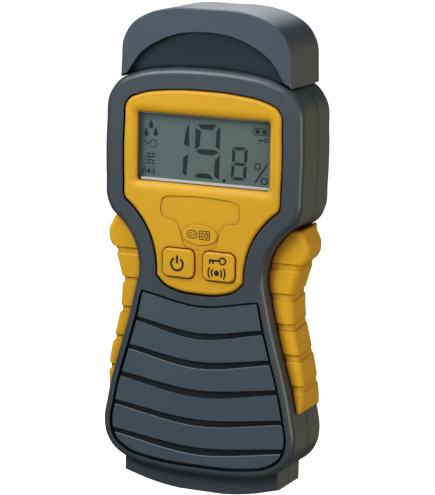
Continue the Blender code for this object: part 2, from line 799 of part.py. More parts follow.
def housing_screw(number, place, look):
    """A screw that draws the rear shell onto the front one."""
    screw = rod(place, SCREW_RADIUS, SCREW_TIP, SCREW_SEAT + GAP + SCREW_HEAD / 2, 16)
    made = as_object(f"housing_screw_{number}", screw, look)
    seat = SCREW_SEAT + GAP
    add(made, rod(place, SCREW_HEAD_RADIUS, seat, seat + SCREW_HEAD))
    slot = SCREW_RADIUS * 1.2
    x, z = place
    cut(made, block(x - slot, x + slot, seat + SCREW_HEAD / 2, seat + 2 * SCREW_HEAD, z - GAP, z + GAP))
    return made


def microcontroller(look):
    """The processor on the back of the board."""
    x, z = CHIP_AT
    mesh = block(x - CHIP_HALF, x + CHIP_HALF, BOARD_BACK + GAP, BOARD_BACK + GAP + CHIP_THICK,
                 z - CHIP_HALF, z + CHIP_HALF)
    return as_object("microcontroller", mesh, look)


def buzzer(look):
    """The round sounder on the back of the board."""
    near = BOARD_BACK + GAP
    made = as_object("buzzer", rod(BUZZER_AT, BUZZER_RADIUS, near, near + BUZZER_HEIGHT, 32), look)
    cut(made, rod(BUZZER_AT, BUZZER_RADIUS / 5, near + BUZZER_HEIGHT / 2, near + 2 * BUZZER_HEIGHT, 12))
    return made


def key_switch(name, side, look):
    """A tact switch in front of the board, under a key."""
    x = side * BUTTON_X
    far = BOARD_DEPTH - GAP
    near = far - SWITCH_BODY
    low, high = BUTTON_Z - SWITCH_HALF, BUTTON_Z + SWITCH_HALF
    body = block(x - SWITCH_HALF, x + SWITCH_HALF, near, far, low, high)
    made = as_object(name, body, look)
    tip = BEZEL_THICK + GAP + BUTTON_FLANGE_THICK + BUTTON_TRAVEL + GAP
    add(made, rod((x, BUTTON_Z), PLUNGER_RADIUS, tip, near + GAP, 16))
    return made


def key_button(name, side, look):
    """A key cap with a flange behind the bezel; its origin is on its line of travel."""
    x = side * BUTTON_X
    face = rounded_box(BUTTON_HALF, BUTTON_HALF_HEIGHT, BUTTON_CORNER, (x, BUTTON_Z))
    near = BEZEL_THICK + GAP
    wide = inset(face, -BUTTON_FLANGE, keep_all=True)
    edge = 0.5 * MM
    layers = (
        (inset(face, edge, keep_all=True), -BUTTON_PROUD),
        (inset(face, edge / 3, keep_all=True), -BUTTON_PROUD + edge / 3),
        (face, -BUTTON_PROUD + edge),
        (face, near),
        (wide, near),
        (wide, near + BUTTON_FLANGE_THICK),
    )
    made = as_object(name, stacked(layers), look)
    set_origin(made, x, 0.0, BUTTON_Z)
    return made


def grip_pad(look):
    """The stepped thumb pad in the front shell's pocket."""
    mesh = rounded(pad_outline(), PAD_FACE, PAD_POCKET - GAP, 0.6 * MM, 0.0, steps=2)
    pad = as_object("grip_pad", mesh, look)
    for number in range(STEP_COUNT):
        cut(pad, prism(step_outline(number), -WALL, PAD_FACE + STEP_DEPTH))
    return pad


def in_band(height):
    """Whether a height lies in one of the grips' sunk bands."""
    number = round((height - GRIP_BAND_FIRST) / GRIP_BAND_PITCH)
    near = abs(height - GRIP_BAND_FIRST - number * GRIP_BAND_PITCH) < GRIP_BAND_HALF
    return near and 0 <= number < GRIP_BANDS


def grip_heights():
    """The heights of a grip's sections, with close pairs at the edges of each band."""
    low, high = GRIP_BULGE[0][0], GRIP_BULGE[-1][0]
    parts = round((high - low) / GRIP_STEP)
    heights = [low + (high - low) * i / parts for i in range(parts + 1)]
    for number in range(GRIP_BANDS):
        middle = GRIP_BAND_FIRST + number * GRIP_BAND_PITCH
        for side in (-1, 1):
            edge = middle + side * GRIP_BAND_HALF
            heights = [z for z in heights if abs(z - edge) > GRIP_STEP / 3]
            heights += [edge - GAP / 2, edge + GAP / 2]
    return sorted(heights)


def side_grip(name, side, look):
    """A soft grip on the body's flank, skinned over sections from bottom to top."""
    body = body_outline()
    rings = []
    for height in grip_heights():
        edge = half_width(body, height)
        sunk = GRIP_BAND_DEPTH if in_band(height) else 0.0
        inner = edge + GAP
        out = bulge(height)
        lean = min(1.0, out / GRIP_FULL_BULGE)
        wide = max(edge + out + lean * GRIP_FRONT_SPREAD - sunk, inner + GAP)
        narrow = max(edge + out - lean * GRIP_BACK_DRAFT - sunk, inner + GAP)
        near, far = GRIP_NEAR + sunk, GRIP_FAR
        section = [(inner, near)]
        for outer, centre, start in ((wide, near, -90), (narrow, far, 0)):
            radius = min(GRIP_ROUND, (outer - inner) * 0.8)
            middle = centre + (radius if start < 0 else -radius)
            for step in range(5):
                angle = math.radians(start + 22.5 * step)
                across = outer - radius + radius * math.cos(angle)
                section.append((across, middle + radius * math.sin(angle)))
        section.append((inner, far))
        rings.append([(side * x, back(depth), height) for x, depth in section])
    return as_object(name, closed_mesh(rings), look)


def electrode_carrier(look):
    """The neck block that holds the two electrodes and takes the cap."""
    carrier = as_object("electrode_carrier", neck_solid(0.0), look)
    for side in (-1, 1):
        hole = ((PIN_RADIUS + GAP, NECK_LOW - MM), (PIN_RADIUS + GAP, NECK_TOP + MM))
        cut(carrier, upright(side * PIN_X, PIN_Y, hole, 16))
    return carrier


def electrode(name, side, look):
    """A pointed measuring pin through the neck block."""
    tip = HEAD_TOP + PIN_ABOVE_HEAD
    profile = (
        (PIN_RADIUS, PIN_LOW),
        (PIN_RADIUS, tip - PIN_TAPER),
        (PIN_RADIUS / 2, tip - PIN_TAPER / 3),
        (PIN_RADIUS / 6, tip),
    )
    return as_object(name, upright(side * PIN_X, PIN_Y, profile, 16), look)


def electrode_nut(name, side, look):
    """The hexagon nut that clamps a pin on the neck block."""
    low = NECK_TOP + GAP
    sides = ((NUT_RADIUS, low), (NUT_RADIUS, low + NUT_HEIGHT))
    nut = as_object(name, upright(side * PIN_X, PIN_Y, sides, 6), look)
    hole = ((PIN_RADIUS + GAP, low - MM), (PIN_RADIUS + GAP, low + NUT_HEIGHT + MM))
    cut(nut, upright(side * PIN_X, PIN_Y, hole, 16))
    return nut


def wire(name, points, look):
    """A round lead along a smooth curve through (x, depth, z) points."""
    data = bpy.data.curves.new(name, "CURVE")
    data.dimensions = "3D"
    data.bevel_depth = LEAD_RADIUS
    data.bevel_resolution = 1
    data.use_fill_caps = True
    data.resolution_u = 5
    data.render_resolution_u = 0
    spline = data.splines.new("BEZIER")
    spline.bezier_points.add(len(points) - 1)
    for knot, (x, depth, z) in zip(spline.bezier_points, points):
        knot.co = (x, back(depth), z)
        knot.handle_left_type = "AUTO"
        knot.handle_right_type = "AUTO"
    data.materials.append(look)
    made = bpy.data.objects.new(name, data)
    bpy.context.scene.collection.objects.link(made)
    return made


def electrode_lead(name, side, look):
    """The lead from a pin's foot to the back of the board."""
    x = side * PIN_X
    end = (x, BOARD_BACK + GAP + LEAD_RADIUS, BOARD_TOP - 4 * MM)
    middle = (x, (PIN_Y + BOARD_BACK) / 2, PIN_LOW - 3.2 * MM)
    start = (x, PIN_Y, PIN_LOW - GAP)
    return wire(name, (start, middle, end), look)


def battery_lead(name, side, look):
    """A lead from the snap connector to the back of the board's stem."""
    x = side * LEAD_X
    snap_top = BATTERY_TOP + GAP + SNAP_THICK
    start = (x, BATTERY_NEAR + BATTERY_THICK / 2, snap_top + GAP)
    middle = (x, BATTERY_NEAR + BATTERY_THICK / 2 - 0.5 * MM, snap_top + 3 * MM)
    end = (x, BOARD_BACK + GAP + LEAD_RADIUS, BOARD_BOTTOM + 4 * MM)
    return wire(name, (start, middle, end), look)


def battery_block(look):
    """The 9 volt block with its two studs."""
    half_depth = BATTERY_THICK / 2
    section = rounded_box(BATTERY_WIDTH / 2, half_depth, BATTERY_ROUND, steps=3)
    rings = []
    for height in (BATTERY_Z, BATTERY_TOP):
        rings.append([(x, back(BATTERY_NEAR + half_depth) + y, height) for x, y in section])
    made = as_object("battery_block", closed_mesh(rings), look)
    for side in (-1, 1):
        stud = ((STUD_RADIUS, BATTERY_TOP - MM), (STUD_RADIUS, BATTERY_TOP + STUD_HEIGHT))
        add(made, upright(side * STUD_X, BATTERY_NEAR + half_depth, stud))
    return made


def battery_snap(look):
    """The snap connector over the battery's studs."""
    low = BATTERY_TOP + GAP
    half = BATTERY_WIDTH / 2 - MM
    depths = (BATTERY_NEAR + MM, BATTERY_FAR - MM)
    made = as_object("battery_snap", block(-half, half, *depths, low, low + SNAP_THICK), look)
    for side in (-1, 1):
        socket = ((STUD_RADIUS + GAP, low - MM), (STUD_RADIUS + GAP, BATTERY_TOP + STUD_HEIGHT + GAP))
        cut(made, upright(side * STUD_X, BATTERY_NEAR + BATTERY_THICK / 2, socket))
    return made


def battery_door(look):
    """The door in the back; its origin is on its lower outer edge, which it swings about."""
    half = BAY_HALF - GAP
    mesh = block(-half, half, DOOR_NEAR, BODY_DEPTH, DOOR_LOW, DOOR_TOP)
    door = as_object("battery_door", mesh, look)
    bottom = BODY_DEPTH - DOOR_GROOVE_DEPTH
    for number in range(DOOR_GROOVES):
        low = DOOR_TOP - DOOR_GROOVE_TOP - number * DOOR_GROOVE_PITCH
        high = low + DOOR_GROOVE_HEIGHT
        cut(door, block(-DOOR_GROOVE_HALF, DOOR_GROOVE_HALF, bottom, BODY_DEPTH + MM, low, high))
    set_origin(door, 0.0, BODY_DEPTH, DOOR_LOW)
    return door


def battery_foam(look):
    """The foam pad on the door's inside that keeps the battery from rattling."""
    middle = (BATTERY_Z + BATTERY_TOP) / 2
    mesh = block(-FOAM_HALF, FOAM_HALF, BATTERY_FAR + GAP, DOOR_NEAR - GAP,
                 middle - FOAM_HALF_HEIGHT, middle + FOAM_HALF_HEIGHT)
    return as_object("battery_foam", mesh, look)


def protective_cap(look):
    """The slip-on cap over the electrodes, open below, with a thumb scallop on its front."""
    outline = cap_outline()
    mesh = rounded(outline, CAP_NEAR, BODY_DEPTH, CAP_ROUND, CAP_ROUND)
    cap = as_object("protective_cap", mesh, look)
    over_arch = HEAD_TOP + CAP_EDGE_ABOVE_HEAD + CAP_WALL + GAP
    half = CAP_HALF - CAP_WALL
    dome = [point for point in inset(outline, CAP_WALL) if point.y > over_arch and abs(point.x) < half]
    dome.sort(key=lambda point: -point.x)
    mouth = [Vector((-half, CAP_LOW - WALL)), Vector((half, CAP_LOW - WALL))]
    cut(cap, prism(mouth + dome, CAP_NEAR + CAP_WALL, BODY_DEPTH - CAP_WALL))
    cut(cap, prism(scallop_outline(), CAP_NEAR - WALL, CAP_NEAR + SCALLOP_DEPTH))
    set_origin(cap, 0.0, PIN_Y, CAP_LOW)
    return cap


def main():
    for old in list(bpy.data.objects):
        bpy.data.objects.remove(old, do_unlink=True)
    slate = material("slate_plastic", (0.062, 0.078, 0.098), 0.55)
    yellow = material("yellow_plastic", (0.72, 0.38, 0.045), 0.45)
    rubber = material("yellow_rubber", (0.70, 0.36, 0.04), 0.62)
    clear = material("clear_plastic", (0.75, 0.80, 0.78), 0.08)
    glass = material("display_glass", (0.30, 0.36, 0.33), 0.15)
    black = material("black_plastic", (0.015, 0.015, 0.016), 0.5)
    board = material("board_green", (0.02, 0.14, 0.06), 0.45)
    steel = material("steel", (0.62, 0.62, 0.62), 0.3, 1.0)
    foam = material("foam", (0.05, 0.05, 0.055), 0.95)
    red = material("lead_red", (0.55, 0.03, 0.02), 0.5)
    case = material("battery_case", (0.09, 0.09, 0.10), 0.4, 0.6)
    front_shell(slate)
    rear_shell(slate)
    front_bezel(yellow)
    display_window(clear)
    lcd_glass(glass)
    lcd_frame(black)
    zebra_strip(foam)
    main_board(board)
    microcontroller(black)
    buzzer(black)
    key_switch("power_switch", -1, steel)
    key_switch("hold_switch", 1, steel)
    key_button("power_button", -1, yellow)
    key_button("hold_button", 1, yellow)
    grip_pad(slate)
    side_grip("left_grip", -1, rubber)
    side_grip("right_grip", 1, rubber)
    electrode_carrier(black)
    for name, side in (("left", -1), ("right", 1)):
        electrode(f"electrode_{name}", side, steel)
        electrode_nut(f"electrode_nut_{name}", side, steel)
        electrode_lead(f"electrode_lead_{name}", side, red)
    for number, place in enumerate(SCREW_PLACES, 1):
        housing_screw(number, place, steel)
    for number, place in enumerate(POST_PLACES, 1):
        board_screw(number, place, steel)
    battery_block(case)
    battery_snap(black)
    battery_lead("battery_lead_red", -1, red)
    battery_lead("battery_lead_black", 1, black)
    battery_door(slate)
    battery_foam(foam)
    protective_cap(slate)


main()
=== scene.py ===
# %% [markdown]
# # A hand-held moisture meter
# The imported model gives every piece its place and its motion. This lesson rebuilds the pieces that an eye
# rests on, with finer curves and softer edges than a collision model needs, and gives every surface a
# finish made of nodes. Sizes are in metres; X is width, Y runs from the display to the back, and Z is
# height. A depth is measured from the front casing's face towards the back, so it is negative in front.

# %% Load the frame
import math

import bmesh
import bpy
from mathutils import Matrix, Vector


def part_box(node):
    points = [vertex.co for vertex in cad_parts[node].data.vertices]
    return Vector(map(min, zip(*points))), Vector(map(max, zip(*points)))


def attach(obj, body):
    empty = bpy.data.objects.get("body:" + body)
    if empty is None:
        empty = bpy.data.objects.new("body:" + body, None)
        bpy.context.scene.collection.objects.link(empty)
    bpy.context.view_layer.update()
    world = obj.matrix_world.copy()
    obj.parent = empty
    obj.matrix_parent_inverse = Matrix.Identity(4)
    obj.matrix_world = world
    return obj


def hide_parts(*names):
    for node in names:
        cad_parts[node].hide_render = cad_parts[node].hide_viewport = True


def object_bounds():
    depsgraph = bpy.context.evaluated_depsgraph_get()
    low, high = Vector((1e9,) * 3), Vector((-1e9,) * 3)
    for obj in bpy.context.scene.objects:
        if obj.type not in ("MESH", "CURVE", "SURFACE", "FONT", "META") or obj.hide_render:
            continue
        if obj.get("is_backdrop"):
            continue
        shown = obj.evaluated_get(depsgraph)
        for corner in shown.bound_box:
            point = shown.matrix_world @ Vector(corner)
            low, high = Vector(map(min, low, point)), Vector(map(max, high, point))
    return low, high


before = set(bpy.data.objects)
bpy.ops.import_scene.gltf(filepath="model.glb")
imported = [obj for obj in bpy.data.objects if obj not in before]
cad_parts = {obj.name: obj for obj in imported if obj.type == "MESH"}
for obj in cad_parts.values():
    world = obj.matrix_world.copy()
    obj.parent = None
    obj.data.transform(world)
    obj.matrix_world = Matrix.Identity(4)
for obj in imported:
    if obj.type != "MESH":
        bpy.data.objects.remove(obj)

cad_low, cad_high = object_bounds()
MM = 0.001
shell_low, shell_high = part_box("front_shell")
FRONT = shell_low.y
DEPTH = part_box("rear_shell")[1].y - FRONT
print("CAD box in mm:", [round(side / MM, 1) for side in cad_high - cad_low])

# %% [markdown]
# ## One smooth line through a few points
# Every outline here is a soft hourglass, dome or bowl. Drawing one by hand means a vertex every millimetre;
# a maker would set a few knots and let a curve run through them. This helper does what an editor's
# automatic handles do: the heading at each knot leans towards the nearer neighbour, so that the line keeps
# close to its knots. Outlines lie in X and Z, and run counter-clockwise as seen from the front.

# %% Lines, mirrored halves and insets
STEP = 1.0 * MM
CLOSEST = 0.3 * MM


def headings(points, closed):
    """The direction of the smooth line at each knot."""
    found = []
    for i, point in enumerate(points):
        before = points[i - 1] if closed or i else point
        after = points[(i + 1) % len(points)] if closed or i < len(points) - 1 else point
        near, far = (point - before).length, (after - point).length
        if near == 0 or far == 0:
            found.append((after - before).normalized())
        else:
            found.append(((point - before) / near * far + (after - point) / far * near) / (near + far))
    return found


def smooth_line(points, closed=False, step=STEP):
    """Points about a step apart on a smooth line through the knots."""
    points = [Vector(point) for point in points]
    aims = headings(points, closed)
    line = []
    for i in range(len(points) if closed else len(points) - 1):
        start, end = points[i], points[(i + 1) % len(points)]
        reach = (end - start).length
        parts = max(1, round(reach / step))
        for t in (part / parts for part in range(parts)):
            bend = aims[i] * reach * (t**3 - 2 * t**2 + t)
            bend += aims[(i + 1) % len(points)] * reach * (t**3 - t**2)
            line.append(start * (2 * t**3 - 3 * t**2 + 1) + end * (3 * t**2 - 2 * t**3) + bend)
    return line if closed else line + [points[-1]]


def both_sides(right):
    """A whole outline from its right half, bottom centre to top centre."""
    return list(right) + [(-x, z) for x, z in reversed(right) if x > 0]


def distance_to(point, outline):
    """How far a point lies from an outline."""
    best = 1.0
    for i, end in enumerate(outline):
        start = outline[i - 1]
        along = end - start
        t = max(0.0, min(1.0, (point - start).dot(along) / max(along.length_squared, 1e-12)))
        best = min(best, (point - start - along * t).length)
    return best


def inset(outline, distance):
    """The outline moved inwards, or outwards if negative, without what a tight corner folds over."""
    moved = []
    for i, point in enumerate(outline):
        into = (point - outline[i - 1]).normalized()
        away = (outline[(i + 1) % len(outline)] - point).normalized()
        normal = Vector((-into.y - away.y, into.x + away.x)).normalized()
        moved.append(point + normal * distance)
    kept = []
    for point in moved:
        apart = not kept or (point - kept[-1]).length > CLOSEST
        if apart and distance_to(point, outline) > abs(distance) * 0.97:
            kept.append(point)
    return kept


def from_end(outline, measure):
    """The same closed outline, starting where the measure is lowest."""
    start = min(range(len(outline)), key=lambda i: measure(outline[i]))
    return outline[start:] + outline[:start]


def half_width(outline, height):
    """The outline's half-width at a height."""
    best = 0.0
    for i, end in enumerate(outline):
        start = outline[i - 1]
        if start.x > 0 and end.x > 0 and start.y <= height < end.y:
            t = (height - start.y) / (end.y - start.y)
            best = max(best, start.x + (end.x - start.x) * t)
    return best


# %% [markdown]
# ## Slabs, cuts and soft edges
# Moulded casings are flat-faced slabs with round edges and pockets. An outline becomes one face, the face
# is extruded to a slab, and the rim of edges at one depth is bevelled. Pockets are cut with Boolean
# modifiers that are applied at once, so each finished piece is plain mesh with its place in its vertices.

# %% Slabs and rounds
SHARP = math.radians(35)
WELD = 0.002 * MM
SAME_DEPTH = 0.001 * MM


def slab(outline, near, far):
    """A bmesh slab from an outline, between two depths behind the front face."""
    shape = bmesh.new()
    shape.faces.new([shape.verts.new((x, FRONT + near, z)) for x, z in outline])
    grow(shape, shape.faces[:], (0, far - near, 0))
    bmesh.ops.recalc_face_normals(shape, faces=shape.faces[:])
    return shape


def move_made(shape, made, by):
    """Moves the vertices among the items that an operator made."""
    moved = [item for item in made["geom"] if isinstance(item, bmesh.types.BMVert)]
    bmesh.ops.translate(shape, verts=moved, vec=by)


def grow(shape, faces, by):
    """Extrudes faces along a vector."""
    move_made(shape, bmesh.ops.extrude_face_region(shape, geom=faces), by)


def stand_up(shape, place):
    """Turns a shape drawn on the ground to face the viewer and moves it to its place."""
    quarter = Matrix.Rotation(math.radians(90), 3, "X")
    bmesh.ops.rotate(shape, verts=shape.verts, cent=(0, 0, 0), matrix=quarter)
    bmesh.ops.translate(shape, verts=shape.verts, vec=place)


def lofted(rings):
    """Rings of as many points each, bridged one to the next, with both ends closed."""
    shape = bmesh.new()
    loops = []
    for ring in rings:
        verts = [shape.verts.new(point) for point in ring]
        loops.append([shape.edges.new((verts[i - 1], verts[i])) for i in range(len(verts))])
    for near, far in zip(loops, loops[1:]):
        bmesh.ops.bridge_loops(shape, edges=near + far)
    for end in (loops[0], loops[-1]):
        bmesh.ops.contextual_create(shape, geom=end)
    bmesh.ops.recalc_face_normals(shape, faces=shape.faces[:])
    return shape


def round_edges(shape, edges, width, segments):
    """Rounds some of a bmesh's edges."""
    bmesh.ops.bevel(shape, geom=edges, offset=width, offset_type="OFFSET", affect="EDGES",
                    segments=segments, profile=0.5, material=-1, clamp_overlap=True)


def round_rim(shape, depth, width, segments=5):
    """Rounds the closed rim of edges that lies at a depth."""
    y = FRONT + depth
    rim = [edge for edge in shape.edges if all(abs(v.co.y - y) < SAME_DEPTH for v in edge.verts)]
    round_edges(shape, rim, width, segments)


# %% Cuts and finished pieces
def to_mesh(shape, name):
    """A bmesh as a mesh, with its faces pointing out."""
    bmesh.ops.recalc_face_normals(shape, faces=shape.faces[:])
    mesh = bpy.data.meshes.new(name)
    shape.to_mesh(mesh)
    shape.free()
    return mesh


def cut(piece, shape, operation="DIFFERENCE"):
    """Cuts a bmesh out of a piece, or joins it on, and keeps the result as plain mesh without slivers."""
    tool = bpy.data.objects.new("tool", to_mesh(shape, "tool"))
    bpy.context.scene.collection.objects.link(tool)
    boolean = piece.modifiers.new("cut", "BOOLEAN")
    boolean.operation = operation
    boolean.object = tool
    graph = bpy.context.evaluated_depsgraph_get()
    result = bpy.data.meshes.new_from_object(piece.evaluated_get(graph))
    clean = bmesh.new()
    clean.from_mesh(result)
    bmesh.ops.remove_doubles(clean, verts=clean.verts, dist=WELD)
    clean.to_mesh(result)
    clean.free()
    piece.modifiers.clear()
    piece.data = result
    bpy.data.objects.remove(tool)


def new_piece(name, shape):
    """An object from a bmesh, still without its finish."""
    piece = bpy.data.objects.new(name, to_mesh(shape, name))
    bpy.context.scene.collection.objects.link(piece)
    return piece


def soften(piece, width, segments=2, angle=40):
    """Rounds the edges that are sharper than an angle."""
    bevel = piece.modifiers.new("soft_edges", "BEVEL")
    bevel.width = width
    bevel.segments = segments
    bevel.limit_method = "ANGLE"
    bevel.angle_limit = math.radians(angle)
    bevel.use_clamp_overlap = True
    bevel.miter_outer = "MITER_ARC"


def finished(piece, look, body, slot, *stands_for):
    """Gives a piece its finish and its body, and hides the CAD nodes that it stands for."""
    piece.data.materials.clear()
    piece.data.materials.append(look)
    piece.data.shade_smooth()
    piece.data.set_sharp_from_angle(angle=SHARP)
    level = piece.modifiers.new("even_shading", "WEIGHTED_NORMAL")
    level.keep_sharp = True
    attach(piece, body)
    if stands_for:
        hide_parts(*stands_for)
    print(piece.name, len(piece.data.polygons), "faces")
    return piece


# %% [markdown]
# ## Finishes
# Moulded plastic is never one flat colour. Its spark-eroded mould leaves a fine grain, which a small bump
# shows; handling makes it a little glossier in patches, which a slow noise in the roughness shows; and dust
# lightens its colour unevenly. One function builds all of the finishes from those three layers. The outer
# pieces get a fourth, painted shade: their colour is darkened in grooves and corners, where shade falls.

# %% One function for every plastic
TONE_SCALE = 45
GRAIN_SCALE = 2600
GRAIN_HEIGHT = 0.05 * MM
CREVICE_SHADE_REACH = 3.2 * MM
CREVICE_SHADE_DARKEST = 0.40


def plastic(name, colour, roughness, grain=0.12, drift=0.05, grain_scale=GRAIN_SCALE, coat=0.0,
            crevice_shade=None, shine=0.5):
    """A plastic with grain, uneven gloss, a slight drift of tone and, if wanted, painted shade in its
    crevices.
    """
    look = bpy.data.materials.new(name)
    look.use_nodes = True
    nodes, links = look.node_tree.nodes, look.node_tree.links
    shader = nodes["Principled BSDF"]
    place = nodes.new("ShaderNodeTexCoord")
    tone = nodes.new("ShaderNodeTexNoise")
    tone.inputs["Scale"].default_value = TONE_SCALE
    tone.inputs["Detail"].default_value = 4
    links.new(place.outputs["Object"], tone.inputs["Vector"])
    ramp = nodes.new("ShaderNodeValToRGB")
    ramp.color_ramp.elements[0].position = 0.3
    ramp.color_ramp.elements[1].position = 0.7
    ramp.color_ramp.elements[0].color = (*[c * (1 - drift) for c in colour], 1)
    ramp.color_ramp.elements[1].color = (*[min(1, c * (1 + drift)) for c in colour], 1)
    links.new(tone.outputs["Fac"], ramp.inputs["Fac"])
    links.new(ramp.outputs["Color"], shader.inputs["Base Color"])
    shader.inputs["Specular IOR Level"].default_value = shine
    # Painted shade: grooves and corners are darkened towards the crevice colour.
    if crevice_shade:
        paint_crevice_shade(look, ramp.outputs["Color"], crevice_shade)
    gloss = nodes.new("ShaderNodeMapRange")
    gloss.inputs["To Min"].default_value = roughness - 0.05
    gloss.inputs["To Max"].default_value = roughness + 0.06
    links.new(tone.outputs["Fac"], gloss.inputs["Value"])
    links.new(gloss.outputs["Result"], shader.inputs["Roughness"])
    pores = nodes.new("ShaderNodeTexNoise")
    pores.inputs["Scale"].default_value = grain_scale
    pores.inputs["Detail"].default_value = 2
    links.new(place.outputs["Object"], pores.inputs["Vector"])
    bump = nodes.new("ShaderNodeBump")
    bump.inputs["Strength"].default_value = grain
    bump.inputs["Distance"].default_value = GRAIN_HEIGHT
    links.new(pores.outputs["Fac"], bump.inputs["Height"])
    links.new(bump.outputs["Normal"], shader.inputs["Normal"])
    shader.inputs["Coat Weight"].default_value = coat
    return look


def paint_crevice_shade(look, colour, crevice_shade):
    """Paints shade: blends a colour towards a darker one wherever other surfaces stand close by."""
    nodes, links = look.node_tree.nodes, look.node_tree.links
    near = nodes.new("ShaderNodeAmbientOcclusion")
    near.samples = 8
    near.inputs["Distance"].default_value = CREVICE_SHADE_REACH
    share = nodes.new("ShaderNodeMapRange")
    share.inputs["From Min"].default_value = CREVICE_SHADE_DARKEST
    share.inputs["From Max"].default_value = 1.0
    links.new(near.outputs["AO"], share.inputs["Value"])
    blend = nodes.new("ShaderNodeMix")
    blend.data_type = "RGBA"
    blend.inputs["A"].default_value = (*crevice_shade, 1)
    links.new(colour, blend.inputs["B"])
    links.new(share.outputs["Result"], blend.inputs["Factor"])
    links.new(blend.outputs["Result"], nodes["Principled BSDF"].inputs["Base Color"])


def satin_steel():
    """Steel with a fine, even grain."""
    look = plastic("steel", (0.58, 0.58, 0.57), 0.28, grain=0.2, grain_scale=1800)
    look.node_tree.nodes["Principled BSDF"].inputs["Metallic"].default_value = 1.0
    return look


# %% The finishes
# The two colours below are painted shade, which grooves and corners of the slate and the yellow pieces are
# darkened towards.
SLATE_CREVICE_SHADE = (0.006, 0.009, 0.011)
AMBER_CREVICE_SHADE = (0.20, 0.038, 0.001)
slate = plastic("slate_plastic", (0.050, 0.063, 0.075), 0.36, grain=0.18, crevice_shade=SLATE_CREVICE_SHADE)
yellow = plastic("yellow_plastic", (0.72, 0.385, 0.018), 0.48, grain=0.10, drift=0.03,
                 crevice_shade=AMBER_CREVICE_SHADE, shine=0.28)
grip_yellow = plastic("yellow_rubber", (0.80, 0.415, 0.012), 0.52, grain=0.20, drift=0.03,
                      crevice_shade=AMBER_CREVICE_SHADE, shine=0.3)
black = plastic("black_plastic", (0.012, 0.012, 0.013), 0.48)
ink = plastic("black_ink", (0.010, 0.008, 0.006), 0.5, grain=0.05)
steel = satin_steel()
board_green = plastic("board_green", (0.012, 0.10, 0.04), 0.35, grain=0.3, grain_scale=700)
foam = plastic("foam", (0.045, 0.045, 0.05), 0.95, grain=0.9, grain_scale=900)
red = plastic("lead_red", (0.50, 0.02, 0.015), 0.45)
jacket = plastic("battery_jacket", (0.10, 0.10, 0.11), 0.35, coat=0.4)
brown_ink = plastic("brown_ink", (0.10, 0.035, 0.006), 0.5, grain=0.05)
# Painted light: the pad's and the cap's slate are lighter, bluer copies of the casing's slate, for the
# lamps' sheen that falls on them.
pad_slate_lit_copy = plastic("pad_slate_lit_copy", (0.062, 0.083, 0.102), 0.40, grain=0.2, crevice_shade=SLATE_CREVICE_SHADE)
cap_slate_lit_copy = plastic("cap_slate_lit_copy", (0.058, 0.076, 0.102), 0.40, grain=0.18, crevice_shade=SLATE_CREVICE_SHADE)
# This much darker slate is painted shade, put on the plate in the pad's grooves and in the cap's scallop.
painted_shade_slate = plastic("painted_shade_slate", (0.015, 0.028, 0.036), 0.60, grain=0.25, crevice_shade=SLATE_CREVICE_SHADE, shine=0.3)
# A painted highlight: the pale grey of the bars where the edges of the glass catch the light.
edge_highlight_grey = plastic("painted_edge_highlight", (0.62, 0.62, 0.58), 0.5, grain=0.03)
segment = plastic("display_segment", (0.008, 0.014, 0.015), 0.6, grain=0.02, shine=0.2)
print(len(bpy.data.materials), "finishes")

# %% [markdown]
# ## The display's finishes
# A liquid crystal display is a grey-green reflector behind glass: matt and even, with painted light that
# makes it a touch lighter towards its right end. The clear window in front is nearly invisible, so its alpha
# is close to nothing, which leaves only a faint sheen.

# %% Display finishes
def display_look():
    """The grey-green reflector, with a slow gradient of painted light towards its right end and a very fine
    grain.
    """
    look = plastic("display_glass", (0.100, 0.150, 0.140), 0.55, grain=0.03, drift=0.02)
    nodes, links = look.node_tree.nodes, look.node_tree.links
    shader = nodes["Principled BSDF"]
    place = nodes.new("ShaderNodeTexCoord")
    split = nodes.new("ShaderNodeSeparateXYZ")
    links.new(place.outputs["Object"], split.inputs["Vector"])
    across = nodes.new("ShaderNodeMapRange")
    low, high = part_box("lcd_glass")
    across.inputs["From Min"].default_value = low.x
    across.inputs["From Max"].default_value = high.x
    links.new(split.outputs["X"], across.inputs["Value"])
    # Painted light: the colour grows a touch lighter from the panel's left end to its right.
    blend = nodes.new("ShaderNodeMix")
    blend.data_type = "RGBA"
    blend.inputs["A"].default_value = (0.080, 0.135, 0.130, 1)
    blend.inputs["B"].default_value = (0.100, 0.140, 0.130, 1)
    links.new(across.outputs["Result"], blend.inputs["Factor"])
    links.new(blend.outputs["Result"], shader.inputs["Base Color"])
    return look


def window_look():
    """A clear plate: nearly all see-through, with a faint sheen."""
    look = plastic("clear_plastic", (0.20, 0.24, 0.24), 0.12, grain=0.01, drift=0.02)
    look.node_tree.nodes["Principled BSDF"].inputs["Alpha"].default_value = 0.03
    return look


reflector = display_look()
clear_plate = window_look()
print("display finishes:", reflector.name, "and", clear_plate.name)

# %% [markdown]
# ## The body's outline
# The casing is an hourglass: a wide head for the display, a waist for the hand and a flared foot end. Both
# shells, the bezel and the pad follow the same line, moved in by their rims, so it is drawn only once.

